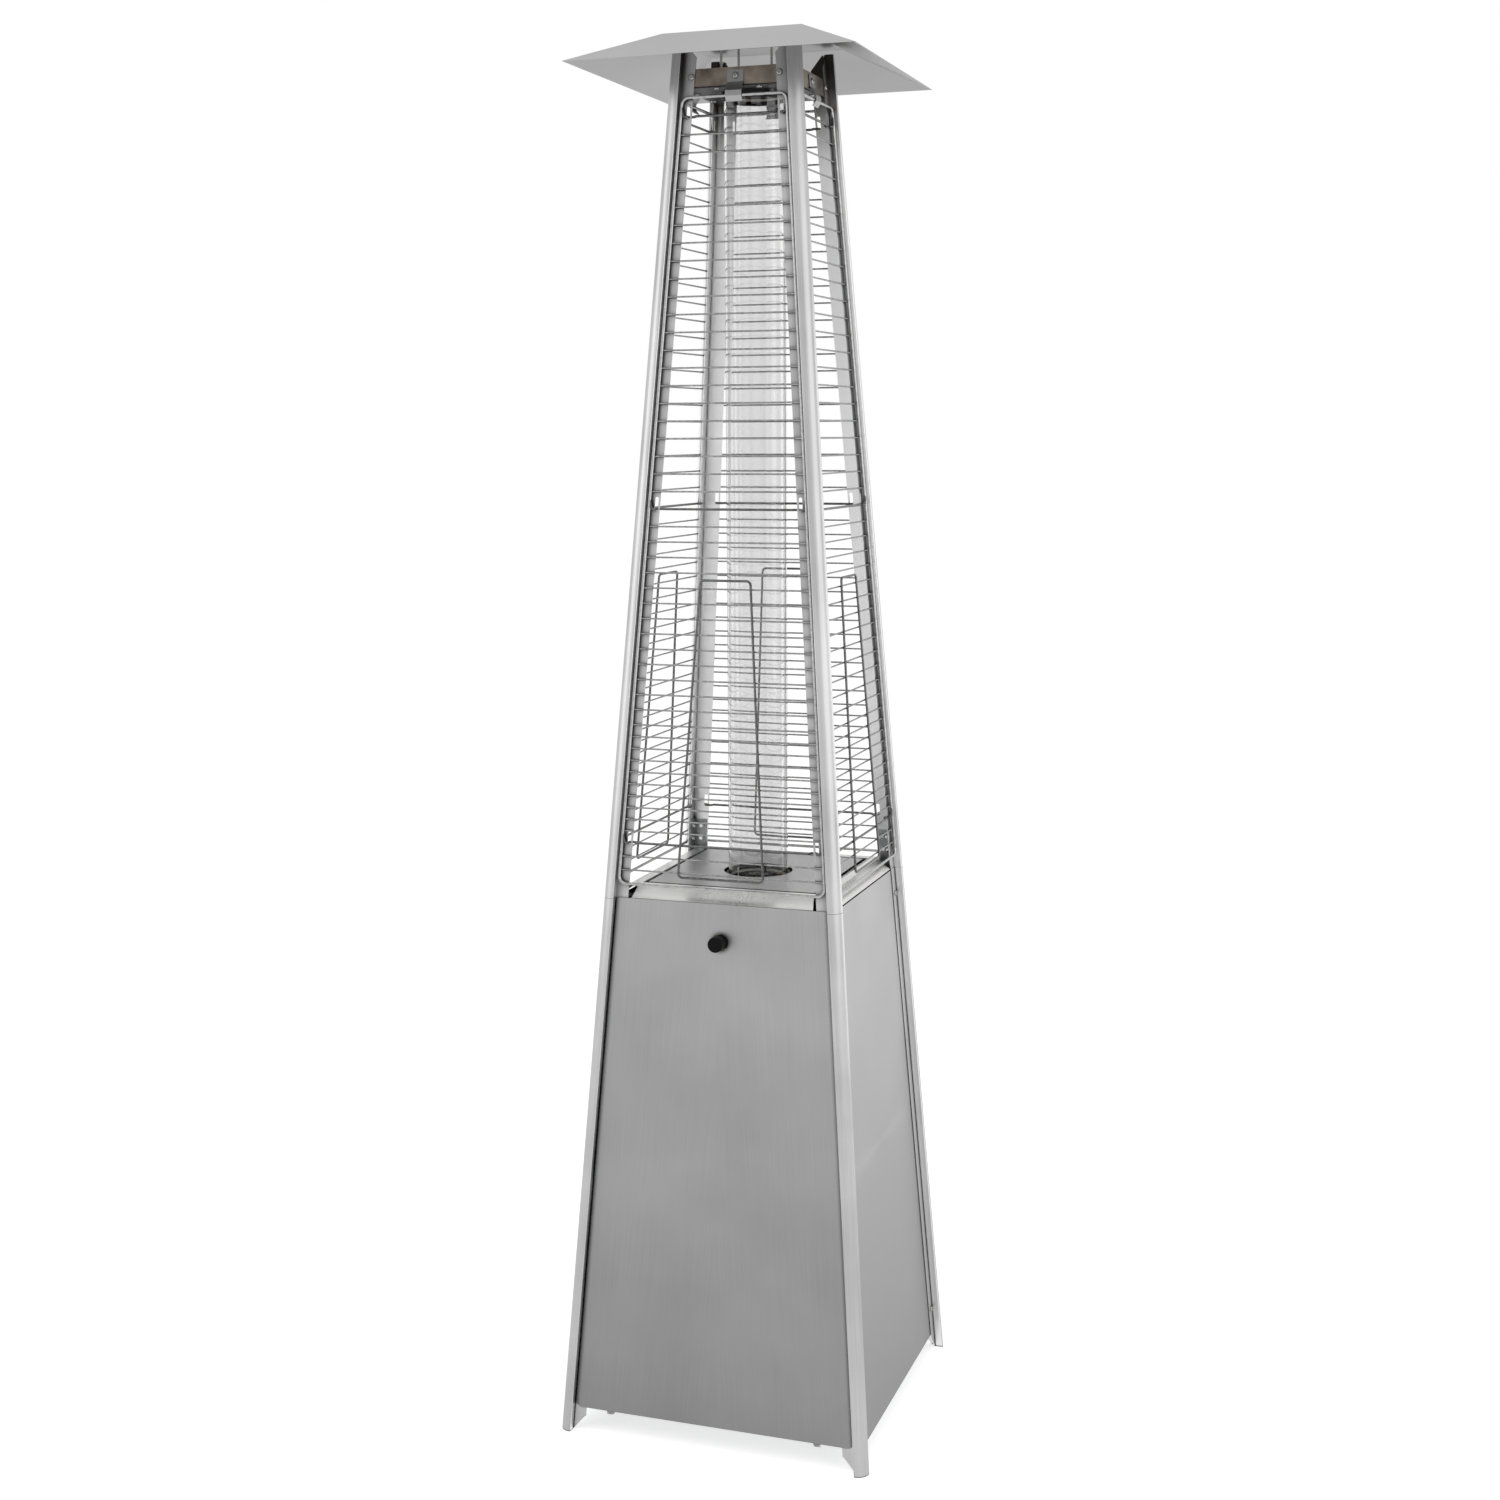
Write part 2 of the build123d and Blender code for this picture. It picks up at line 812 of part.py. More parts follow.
def burner_box():
    """Build the open box that holds the burner and carries the deck."""
    depth = box_top - box_bottom
    tab_height = box_top - box_tab_drop
    tab_reach = nose_half(tab_height) - bracket_back - box_tab_gap
    gas_height = valve_point(0, 0)[2] - gas_tube_drop
    pilot_height = valve_point(0, 0)[2] + pilot_tube_rise
    with BuildPart() as box:
        with BuildSketch(Plane.XY.offset(box_bottom)):
            Rectangle(2 * box_half, 2 * box_half)
        extrude(amount=depth)
        with BuildSketch(Plane.XY.offset(box_bottom + box_wall)):
            Rectangle(2 * (box_half - box_wall), 2 * (box_half - box_wall))
        extrude(amount=depth, mode=Mode.SUBTRACT)
        with BuildSketch(Plane.XY.offset(box_top)):
            Rectangle(2 * box_flange_half, 2 * box_flange_half)
            Rectangle(2 * (box_half - box_wall), 2 * (box_half - box_wall), mode=Mode.SUBTRACT)
        extrude(amount=-box_wall)
        with BuildSketch(Plane.XY.offset(tab_height)):
            for turn in (0, 90, 180, 270):
                with BuildLine(Plane.XY.rotated((0, 0, turn))):
                    Polyline(
                        (box_tab_start, box_tab_start),
                        (box_tab_neck, box_tab_start),
                        (tab_reach, tab_reach - bracket_reach + bracket_back),
                        (tab_reach, tab_reach),
                        (tab_reach - bracket_reach + bracket_back, tab_reach),
                        (box_tab_start, box_tab_neck),
                        close=True,
                    )
                make_face()
            Rectangle(2 * (box_half - box_wall), 2 * (box_half - box_wall), mode=Mode.SUBTRACT)
        extrude(amount=box_wall)
        with BuildSketch(Plane.XY.offset(box_bottom - overrun)):
            with PolarLocations(box_vent_place, 4):
                SlotOverall(box_vent_width, box_vent_height, rotation=90)
        extrude(amount=box_wall + 2 * overrun, mode=Mode.SUBTRACT)
        with BuildSketch(Plane.XZ.offset(box_half + overrun)):
            with Locations((gas_tube_place, gas_height)):
                Circle(gas_tube_radius + tube_hole_clearance)
            with Locations((pilot_tube_place, pilot_height)):
                Circle(pilot_tube_radius + tube_hole_clearance)
        extrude(amount=-(box_wall + 2 * overrun), mode=Mode.SUBTRACT)
    write(box, "burner_box")


def deck_skirt():
    """Build the flat ring round the deck with its four sloping sides."""
    with BuildPart() as skirt:
        with BuildSketch(Plane.XY.offset(box_top)):
            Rectangle(2 * skirt_outer_half, 2 * skirt_outer_half)
            Rectangle(2 * skirt_inner_half, 2 * skirt_inner_half, mode=Mode.SUBTRACT)
        extrude(amount=deck_wall)
        for turn in (0, 90, 180, 270):
            angle = radians(turn)
            slope = Plane(
                origin=(
                    skirt_outer_half * sin(angle),
                    -skirt_outer_half * cos(angle),
                    deck_height,
                ),
                x_dir=(cos(angle), sin(angle), 0),
                z_dir=(
                    skirt_slope_drop * sin(angle),
                    -skirt_slope_drop * cos(angle),
                    skirt_slope_run,
                ),
            )
            length = sqrt(skirt_slope_run**2 + skirt_slope_drop**2)
            with BuildSketch(slope):
                with BuildLine():
                    Polyline(
                        (-skirt_end_top, deck_wall / 2),
                        (skirt_end_top, deck_wall / 2),
                        (skirt_end_bottom, -length),
                        (-skirt_end_bottom, -length),
                        close=True,
                    )
                make_face()
            extrude(amount=-deck_wall)
        with BuildSketch(Plane.XY.offset(deck_height)):
            Rectangle(2 * skirt_outer_half, 2 * skirt_outer_half)
        extrude(amount=overrun, mode=Mode.SUBTRACT)
    write(skirt, "deck_skirt")


def deck_plate():
    """Build the flat deck with the round hole for the tube."""
    with BuildPart() as deck:
        with BuildSketch(Plane.XY.offset(box_top)):
            Rectangle(2 * deck_half, 2 * deck_half)
            Circle(deck_hole_radius, mode=Mode.SUBTRACT)
        extrude(amount=deck_wall)
    write(deck, "deck_plate")


def deck_spacers():
    """Build the four spacers that stand the deck on the burner plate."""
    with BuildPart() as spacers:
        with BuildSketch(Plane.XY.offset(burner_plate_top)):
            with GridLocations(2 * spacer_place, 2 * spacer_place, 2, 2):
                Circle(spacer_radius)
        extrude(amount=box_top - burner_plate_top)
    write(spacers, "deck_spacers")


def burner_plate():
    """Build the plate across the box that carries burner and tube seat."""
    half = box_half - box_wall - burner_plate_gap
    with BuildPart() as plate:
        with BuildSketch(Plane.XY.offset(burner_plate_top)):
            Rectangle(2 * half, 2 * half)
        extrude(amount=-burner_plate_rim)
        with BuildSketch(Plane.XY.offset(burner_plate_bottom)):
            Rectangle(2 * (half - burner_plate_wall), 2 * (half - burner_plate_wall))
        extrude(amount=-burner_plate_rim, mode=Mode.SUBTRACT)
        with BuildSketch(Plane.XY.offset(burner_plate_top + overrun)):
            Circle(burner_plate_hole_radius)
        extrude(amount=-burner_plate_rim, mode=Mode.SUBTRACT)
    write(plate, "burner_plate")


def burner_head():
    """Build the burner cup with its flange and three fitting holes."""
    cup_bottom = burner_plate_bottom - burner_cup_depth
    inner = burner_cup_radius - burner_cup_wall
    with BuildPart() as head:
        with BuildSketch(Plane.XY.offset(cup_bottom)):
            Circle(burner_cup_radius)
            Circle(mixer_radius - mixer_wall, mode=Mode.SUBTRACT)
        extrude(amount=burner_cup_wall)
        with BuildSketch(Plane.XY.offset(cup_bottom)):
            Circle(burner_cup_radius)
            Circle(inner, mode=Mode.SUBTRACT)
        extrude(amount=burner_cup_depth)
        with BuildSketch(Plane.XY.offset(burner_plate_bottom)):
            Circle(burner_flange_radius)
            Circle(inner, mode=Mode.SUBTRACT)
            with PolarLocations(fitting_place_radius, 3, angular_range=270):
                Circle(fitting_hole_radius, mode=Mode.SUBTRACT)
        extrude(amount=-burner_flange_wall)
    write(head, "burner_head")


def burner_screen():
    """Build the perforated dome in the mouth of the cup."""
    radius = burner_cup_radius - burner_cup_wall - screen_gap
    base = burner_plate_bottom - screen_skirt
    dome_radius = (radius**2 + screen_rise**2) / (2 * screen_rise)
    middle = burner_plate_bottom + screen_rise - dome_radius
    inner_radius = radius - screen_wall
    inner_lift = sqrt((dome_radius - screen_wall) ** 2 - inner_radius**2)
    outer_turn = degrees(atan2(burner_plate_bottom - middle, radius))
    inner_turn = degrees(atan2(inner_lift, inner_radius))
    with BuildPart() as screen:
        with BuildSketch(Plane.XZ):
            with BuildLine():
                outer = CenterArc((0, middle), dome_radius, outer_turn, 90 - outer_turn)
                inner = CenterArc(
                    (0, middle), dome_radius - screen_wall, inner_turn, 90 - inner_turn
                )
                Line(outer @ 1, inner @ 1)
                Polyline(outer @ 0, (radius, base), (inner_radius, base), inner @ 0)
            make_face()
        revolve(axis=Axis.Z)
        with BuildSketch(Plane.XY.offset(burner_plate_bottom)):
            Circle(screen_hole_radius)
            for row_share, count in zip(screen_row_shares, screen_row_counts):
                with PolarLocations(row_share * radius, count, start_angle=screen_turn):
                    Circle(screen_hole_radius)
        extrude(amount=screen_rise + overrun, mode=Mode.SUBTRACT)
    write(screen, "burner_screen")


def mixing_tube():
    """Build the tube where gas and air mix, with its air holes."""
    top = burner_plate_bottom - burner_cup_depth
    with BuildPart() as mixer:
        with BuildSketch(Plane.XY.offset(top)):
            Circle(mixer_radius)
            Circle(mixer_radius - mixer_wall, mode=Mode.SUBTRACT)
        extrude(amount=-mixer_length)
        for plane in (Plane.XZ, Plane.YZ):
            with BuildSketch(plane):
                with Locations((0, top - mixer_length + mixer_air_height)):
                    Circle(mixer_air_radius)
            extrude(amount=mixer_radius + overrun, both=True, mode=Mode.SUBTRACT)
    write(mixer, "mixing_tube")


def gas_injector():
    """Build the brass injector that closes the mixing tube."""
    mixer_bottom = burner_plate_bottom - burner_cup_depth - mixer_length
    with BuildPart() as injector:
        with BuildSketch(Plane.XY.offset(mixer_bottom)):
            Circle(mixer_radius)
        extrude(amount=-injector_flange_wall)
        with BuildSketch(Plane.XY.offset(mixer_bottom)):
            Circle(injector_radius)
        extrude(amount=-injector_length)
        with BuildSketch(Plane.XY.offset(mixer_bottom)):
            Circle(injector_jet_radius)
        extrude(amount=-injector_length / 2, mode=Mode.SUBTRACT)
    write(injector, "gas_injector")


def fitting_point(turn):
    """Place of the pilot, sensor or electrode round the burner."""
    angle = radians(turn)
    return (fitting_place_radius * cos(angle), fitting_place_radius * sin(angle))


def add_collar(place):
    """Add the clamping collar under the burner flange."""
    with BuildSketch(Plane.XY.offset(burner_plate_bottom - burner_flange_wall)) as outline:
        with Locations(place):
            Circle(collar_radius)
    extrude(outline.sketch, amount=-collar_height)


def pilot_burner():
    """Build the pilot burner nozzle."""
    place = fitting_point(0)
    with BuildPart() as pilot:
        with BuildSketch(Plane.XY.offset(pilot_top)):
            with Locations(place):
                Circle(pilot_radius)
        extrude(amount=-pilot_length)
        add_collar(place)
        with BuildSketch(Plane.XY.offset(pilot_top)):
            with Locations(place):
                Circle(pilot_bore_radius)
        extrude(amount=-pilot_radius, mode=Mode.SUBTRACT)
    write(pilot, "pilot_burner")


def thermocouple():
    """Build the flame sensor rod."""
    place = fitting_point(90)
    with BuildPart() as sensor:
        with BuildSketch(Plane.XY.offset(burner_plate_top)):
            with Locations(place):
                Circle(sensor_radius)
        extrude(amount=-sensor_length)
        with BuildSketch(Plane.XY.offset(burner_plate_top)):
            with Locations(place):
                Circle(sensor_tip_radius)
        extrude(amount=sensor_tip_length)
        add_collar(place)
    write(sensor, "thermocouple")


def ignition_electrode():
    """Build the spark electrode in its ceramic sleeve."""
    place = fitting_point(180)
    with BuildPart() as electrode:
        with BuildSketch(Plane.XY.offset(burner_plate_top)):
            with Locations(place):
                Circle(insulator_radius)
        extrude(amount=-insulator_length)
        with BuildSketch(Plane.XY.offset(burner_plate_top)):
            with Locations(place):
                Circle(electrode_radius)
        extrude(amount=electrode_rise)
        add_collar(place)
    write(electrode, "ignition_electrode")


def glass_tube():
    """Build the open quartz tube that the flame stands in."""
    with BuildPart() as tube:
        with BuildSketch(Plane.XY.offset(tube_bottom)):
            Circle(tube_radius)
            Circle(tube_radius - tube_wall, mode=Mode.SUBTRACT)
        extrude(amount=tube_top - tube_bottom)
    write(tube, "glass_tube")


def tube_seals():
    """Build the two soft seals under and over the tube."""
    with BuildPart() as seals:
        for height in (seat_top, tube_top):
            with BuildSketch(Plane.XY.offset(height)):
                Circle(seal_outer_radius)
                Circle(seal_inner_radius, mode=Mode.SUBTRACT)
            extrude(amount=seal_height)
    write(seals, "tube_seals")


def tube_seat():
    """Build the lipped ring that the glass tube stands in."""
    with BuildPart() as seat:
        with BuildSketch(Plane.XY.offset(burner_plate_top)):
            Circle(seat_outer_radius)
            Circle(seat_inner_radius, mode=Mode.SUBTRACT)
        extrude(amount=seat_base_wall)
        with BuildSketch(Plane.XY.offset(burner_plate_top)):
            Circle(seat_outer_radius)
            Circle(seat_lip_radius, mode=Mode.SUBTRACT)
        extrude(amount=seat_lip_height)
    write(seat, "tube_seat")


def crossbar():
    """Build the front crossbar: a web behind the flanges and an inward ledge."""
    web_half = nose_half(crossbar_bottom + crossbar_height) - crossbar_end_inset
    web_back = flange_back + crossbar_wall
    ledge_front = -(nose_half(crossbar_bottom) - web_back + crossbar_wall / 2)
    ledge_depth = crossbar_ledge + crossbar_wall / 2
    ledge_half = nose_half(crossbar_bottom) - crossbar_ledge_inset
    with BuildPart() as bar:
        with BuildSketch(face_plane(flange_back, crossbar_bottom)):
            Rectangle(
                2 * web_half,
                crossbar_height * face_stretch,
                align=(Align.CENTER, Align.MIN),
            )
        extrude(amount=-crossbar_wall / face_stretch)
        with BuildSketch(Plane.XY.offset(crossbar_bottom)):
            with Locations((0, ledge_front)):
                Rectangle(2 * ledge_half, ledge_depth, align=(Align.CENTER, Align.MIN))
        extrude(amount=crossbar_wall)
        cut_fixing_holes(
            (crossbar_screw_height,),
            crossbar_screw_inset,
            ((0, 1), (0, -1)),
            flange_back,
            crossbar_wall,
        )
        with BuildSketch(fixing_plane(clip_screw_height, 0, 0, flange_back - overrun)):
            Circle(fixing_hole_radius)
        extrude(amount=-(crossbar_wall + 2 * overrun), mode=Mode.SUBTRACT)
        with BuildSketch(Plane.XY.offset(crossbar_bottom - overrun)):
            with Locations(*[(side * holder_bolt_spread, -holder_bolt_reach()) for side in (-1, 1)]):
                Circle(fixing_hole_radius)
        extrude(amount=crossbar_wall + 2 * overrun, mode=Mode.SUBTRACT)
    return bar


def holder_bolt_reach():
    """Distance of the holder bolts from the axis, in the middle of a ledge."""
    return nose_half(crossbar_bottom) - flange_back - crossbar_wall - crossbar_ledge / 2


def holder_bolt_planes():
    """Planes of the eight bolts under the tube holder, heads down."""
    planes = []
    for turn in (0, 90, 180, 270):
        angle = radians(turn)
        for side in (-1, 1):
            x = side * holder_bolt_spread
            y = -holder_bolt_reach()
            origin = (
                x * cos(angle) - y * sin(angle),
                x * sin(angle) + y * cos(angle),
                crossbar_bottom - holder_wall,
            )
            planes.append(Plane(origin=origin, x_dir=(1, 0, 0), z_dir=(0, 0, -1)))
    return planes


def tube_holder():
    """Build the plate and collar that steady the top of the tube."""
    plate_bottom = crossbar_bottom - holder_wall
    with BuildPart() as holder:
        with BuildSketch(Plane.XY.offset(plate_bottom)) as outline:
            Rectangle(2 * holder_half, 2 * holder_half)
            chamfer(outline.vertices(), holder_corner)
            Circle(holder_hole_radius, mode=Mode.SUBTRACT)
            with GridLocations(2 * hood_stud_place, 2 * hood_stud_place, 2, 2):
                Circle(hood_stud_radius + fixing_clearance, mode=Mode.SUBTRACT)
            for plane in holder_bolt_planes():
                with Locations((plane.origin.X, plane.origin.Y)):
                    Circle(fixing_hole_radius, mode=Mode.SUBTRACT)
        extrude(amount=holder_wall)
        with BuildSketch(Plane.XY.offset(crossbar_bottom)):
            Circle(holder_collar_radius + holder_collar_wall)
            Circle(holder_collar_radius, mode=Mode.SUBTRACT)
        extrude(amount=-(holder_wall + holder_collar_drop))
    write(holder, "tube_holder")


def guard_clip():
    """Build the front clip: a strap on the crossbar that hooks round the guard's top wire."""
    path_places = (
        (clip_depth, clip_top),
        (clip_depth, clip_bend),
        (clip_front_depth, clip_shoulder),
        (clip_front_depth, clip_toe),
        (clip_hook_depth, clip_hook_bottom),
    )
    with BuildPart() as clip:
        with BuildSketch(Plane.YZ.offset(-clip_width / 2)):
            with BuildLine() as path:
                Polyline(*[front_point(0, d, z)[1:] for d, z in path_places])
            trace(path.line, line_width=clip_wall)
        extrude(amount=clip_width)
        with BuildSketch(fixing_plane(clip_screw_height, 0, 0, clip_depth - clip_wall - overrun)):
            Circle(fixing_hole_radius)
        extrude(amount=-(clip_wall + 2 * overrun), mode=Mode.SUBTRACT)
    return clip


def hood():
    """Build the hollow square hood with its flat top."""
    with BuildPart() as cover:
        with BuildSketch(Plane.XY.offset(hood_rim_height)):
            Rectangle(2 * hood_rim_half, 2 * hood_rim_half)
        with BuildSketch(Plane.XY.offset(total_height)):
            Rectangle(2 * hood_top_half, 2 * hood_top_half)
        loft()
        opening = cover.faces().sort_by(Axis.Z)[0]
        offset(amount=-hood_wall, openings=opening)
    write(cover, "hood")


def hood_studs():
    """Build the four studs welded under the hood."""
    bottom = crossbar_bottom - holder_wall - hood_stud_tail
    with BuildPart() as studs:
        with BuildSketch(Plane.XY.offset(bottom)):
            with GridLocations(2 * hood_stud_place, 2 * hood_stud_place, 2, 2):
                Circle(hood_stud_radius)
        extrude(amount=total_height - hood_wall - bottom)
    write(studs, "hood_studs")


def guard_bar_heights():
    """Heights of the thin bars, closer together towards the bottom."""
    pitch = (guard_top_rod - guard_middle_rod) / guard_upper_gaps
    heights = [guard_top_rod - pitch * step for step in range(1, guard_upper_gaps)]
    first = guard_middle_rod - pitch
    pitch = (first - guard_change_height) / guard_middle_gaps
    heights += [first - pitch * step for step in range(guard_middle_gaps + 1)]
    pitch = (guard_change_height - guard_lower_rod) / guard_lower_gaps
    heights += [guard_change_height - pitch * step for step in range(1, guard_lower_gaps)]
    pitch = (guard_lower_rod - guard_bottom) / guard_foot_gaps
    heights += [guard_lower_rod - pitch * step for step in range(1, guard_foot_gaps)]
    return heights


def add_wire(path, radius):
    """Sweep a round wire along a path."""
    with BuildSketch(Plane(origin=path @ 0, z_dir=path % 0)) as outline:
        Circle(radius)
    sweep(outline.sketch, path=path)


def add_guard_bars():
    """Add the thin bars, trimmed to the middle of the frame wires."""
    with BuildSketch(Plane.YZ) as outline:
        for height in guard_bar_heights():
            with Locations(front_point(0, guard_bar_depth, height)[1:]):
                Circle(guard_bar_radius)
    extrude(outline.sketch, amount=base_half, both=True)
    low = base_half - guard_frame_inset
    high = nose_half(total_height) - guard_frame_inset
    with BuildSketch(Plane.XZ) as outline:
        with BuildLine():
            Polyline((-low, 0), (low, 0), (high, total_height), (-high, total_height), close=True)
        make_face()
    extrude(outline.sketch, amount=base_half, mode=Mode.INTERSECT)


def add_guard_loop(depth, bottom, top, bottom_half, top_half, corner, radius):
    """Add one closed wire with rounded corners in the guard's plane."""
    rise = face_rise(top, bottom)
    with BuildLine(face_plane(depth, bottom)) as path:
        FilletPolyline(
            (-bottom_half, 0),
            (bottom_half, 0),
            (top_half, rise),
            (-top_half, rise),
            radius=corner,
            close=True,
        )
    add_wire(path.line, radius)


def add_guard_rod(height):
    """Add one rod whose ends pass behind the flanges and out through the slots."""
    half = nose_half(height)
    leg_inset = guard_frame_inset + guard_frame_radius + guard_rod_radius
    leg_top = height + rod_leg
    behind = flange_back + guard_rod_radius + slot_rod_gap
    side_path = (
        (nose_half(leg_top) - guard_frame_inset, guard_frame_depth, leg_top),
        (half - leg_inset, guard_frame_depth, height),
        (half - slot_inset, guard_frame_depth, height),
        (half - slot_inset, behind, height),
        (half - rod_step_inset, behind, height),
        (half - rod_step_inset, guard_bar_depth, height),
    )
    right = [front_point(*place) for place in side_path]
    left = [(-x, y, z) for x, y, z in reversed(right)]
    with BuildLine() as path:
        FilletPolyline(*right, *left, radius=rod_bend_radius)
    add_wire(path.line, guard_rod_radius)


def wire_guard():
    """Build the front wire guard."""
    with BuildPart() as guard:
        add_guard_bars()
        add_guard_loop(
            guard_frame_depth,
            guard_bottom,
            guard_top,
            nose_half(guard_bottom) - guard_frame_inset,
            nose_half(guard_top) - guard_frame_inset,
            guard_corner_radius,
            guard_frame_radius,
        )
        add_guard_loop(
            guard_loop_depth,
            guard_loop_bottom,
            guard_loop_top,
            guard_loop_bottom_half,
            guard_loop_top_half,
            guard_loop_corner_radius,
            guard_loop_radius,
        )
        for height in (guard_top_rod, guard_middle_rod, guard_lower_rod):
            add_guard_rod(height)
    return guard


def knob_plane(out):
    """Plane across the knob's axis, at a distance out from the door's face."""
    base = face_plane(door_front_depth, knob_height)
    origin = base.from_local_coords((0, 0, out))
    return Plane(origin=origin, x_dir=base.x_dir, z_dir=base.z_dir)


def valve_point(x, back):
    """Point beside the middle of the valve body, moved back along its axis."""
    middle = -(valve_nose_gap + valve_nose_length + valve_body_depth / 2)
    base = face_plane(door_front_depth, knob_height)
    point = base.from_local_coords((x, 0, middle - back))
    return (point.X, point.Y, point.Z)


def control_knob():
    """Build the plain round knob with a bore for the spindle."""
    with BuildPart() as knob:
        with BuildSketch(knob_plane(-knob_tail)):
            Circle(knob_radius)
        extrude(amount=knob_stand + knob_tail)
        front_edge = knob.edges().sort_by(Axis.Y)[0]
        chamfer(front_edge, knob_edge)
        with BuildSketch(knob_plane(-knob_tail)):
            Circle(spindle_radius + spindle_running_clearance)
        extrude(amount=knob_bore_depth, mode=Mode.SUBTRACT)
    write(knob, "control_knob")


def valve_spindle():
    """Build the spindle that joins the knob to the valve."""
    with BuildPart() as spindle:
        with BuildSketch(knob_plane(knob_bore_depth - knob_tail)):
            Circle(spindle_radius)
        extrude(amount=-spindle_length)
    write(spindle, "valve_spindle")


def gas_valve():
    """Build the valve body with its threaded nose and blind spindle bore."""
    spindle_reach = spindle_length - knob_bore_depth + knob_tail + push_travel
    with BuildPart() as valve:
        with BuildSketch(knob_plane(-valve_nose_gap)):
            Circle(valve_nose_radius)
        extrude(amount=-valve_nose_length)
        with BuildSketch(knob_plane(-valve_nose_gap - valve_nose_length)):
            RectangleRounded(valve_body_width, valve_body_height, screw_edge_radius)
        extrude(amount=-valve_body_depth)
        with BuildSketch(knob_plane(-valve_nose_gap)):
            Circle(spindle_radius + spindle_running_clearance)
        extrude(amount=-(spindle_reach - valve_nose_gap + overrun), mode=Mode.SUBTRACT)
    write(valve, "gas_valve")


def valve_nut():
    """Build the ring nut that clamps the valve nose to its bracket."""
    with BuildPart() as nut:
        with BuildSketch(knob_plane(-valve_nose_gap - valve_nose_length + valve_bracket_wall)):
            RegularPolygon(valve_nut_radius, 6, major_radius=False)
            Circle(valve_nose_radius + thread_clearance, mode=Mode.SUBTRACT)
        extrude(amount=valve_nut_height)
    write(nut, "valve_nut")


def valve_bracket():
    """Build the bracket that holds the valve off the burner box."""
    plate_back = valve_nose_gap + valve_nose_length
    wall_distance = nose_half(knob_height) - door_front_depth - box_half
    with BuildPart() as bracket:
        with BuildSketch(knob_plane(-plate_back)):
            Rectangle(valve_bracket_width, valve_bracket_height)
            Circle(valve_nose_radius + fixing_clearance, mode=Mode.SUBTRACT)
        extrude(amount=valve_bracket_wall)
        arm_length = wall_distance - plate_back + overrun
        with BuildSketch(knob_plane(-plate_back + valve_bracket_wall)):
            for side in (-1, 1):
                middle = (valve_bracket_width - valve_foot_width) / 2
                with Locations((side * middle, (valve_bracket_height - valve_bracket_wall) / 2)):
                    Rectangle(valve_foot_width, valve_bracket_wall)
                with Locations((side * middle, -(valve_bracket_height - valve_bracket_wall) / 2)):
                    Rectangle(valve_foot_width, valve_bracket_wall)
        extrude(amount=-(arm_length + valve_bracket_wall))
        arm_rise = (valve_bracket_height - valve_bracket_wall) / 2
        with BuildSketch(Plane.XZ.offset(box_half)):
            for side in (-1, 1):
                for lift in (-1, 1):
                    middle = (valve_bracket_width - valve_foot_width) / 2
                    foot = knob_height - taper_share * wall_distance + lift * arm_rise
                    with Locations((side * middle, foot + lift * valve_foot_height / 2)):
                        Rectangle(valve_foot_width, valve_foot_height + 2 * valve_bracket_wall)
        extrude(amount=valve_bracket_wall)
        with BuildSketch(Plane.XZ.offset(box_half)):
            with Locations((0, knob_height)):
                Rectangle(2 * valve_bracket_width, 2 * (valve_bracket_height + valve_foot_height))
        extrude(amount=-2 * overrun, mode=Mode.SUBTRACT)
    write(bracket, "valve_bracket")


def gas_inlet():
    """Build the hose nozzle under the valve."""
    start = valve_point(0, 0)
    base = face_plane(door_front_depth, knob_height)
    down = -base.y_dir
    top = Vector(*start) + down * (valve_body_height / 2)
    with BuildPart() as inlet:
        with BuildSketch(Plane(origin=top, x_dir=base.x_dir, z_dir=down)):
            RegularPolygon(inlet_hex_radius, 6)
        extrude(amount=inlet_hex_length)
        nozzle_top = top + down * inlet_hex_length
        with BuildSketch(Plane(origin=nozzle_top, x_dir=base.x_dir, z_dir=down)):
            Circle(inlet_nozzle_radius)
        extrude(amount=inlet_nozzle_length)
        for step in (1, 2, 3):
            groove = nozzle_top + down * (step * inlet_groove_pitch)
            with BuildSketch(Plane(origin=groove, x_dir=base.x_dir, z_dir=down)):
                Circle(inlet_nozzle_radius + overrun)
                Circle(inlet_nozzle_radius - inlet_groove_depth, mode=Mode.SUBTRACT)
            extrude(amount=inlet_groove_pitch / 2, mode=Mode.SUBTRACT)
        end = nozzle_top + down * inlet_nozzle_length
        with BuildSketch(Plane(origin=end, x_dir=base.x_dir, z_dir=down)):
            Circle(inlet_bore_radius)
        extrude(amount=-inlet_nozzle_length, mode=Mode.SUBTRACT)
    write(inlet, "gas_inlet")


def rigid_tube(label, points, bend, radius):
    """Build one rigid gas tube along straight runs and bends."""
    with BuildPart() as tube:
        with BuildLine() as path:
            FilletPolyline(*points, radius=bend)
        add_wire(path.line, radius)
    write(tube, label)


def burner_tube():
    """Build the tube from the valve to the injector."""
    x, y, z = valve_point(valve_body_width / 2, 0)
    low = z - gas_tube_drop
    points = (
        (x, y, z),
        (gas_tube_place, y, z),
        (gas_tube_place, y, low),
        (gas_tube_place, 0, low),
        (injector_radius, 0, low),
    )
    rigid_tube("burner_gas_tube", points, gas_tube_bend, gas_tube_radius)


def pilot_tube():
    """Build the thin tube from the valve to the pilot burner."""
    x, y, z = valve_point(valve_body_width / 2, 0)
    high = z + pilot_tube_rise
    y = y - valve_body_depth / 2 + pilot_tube_back / 2
    place = fitting_point(0)
    points = (
        (x, y, high),
        (pilot_tube_place, y, high),
        (pilot_tube_place, 0, high),
        (place[0], 0, high),
        (place[0], 0, pilot_top - pilot_length),
    )
    rigid_tube("pilot_gas_tube", points, pilot_tube_bend, pilot_tube_radius)


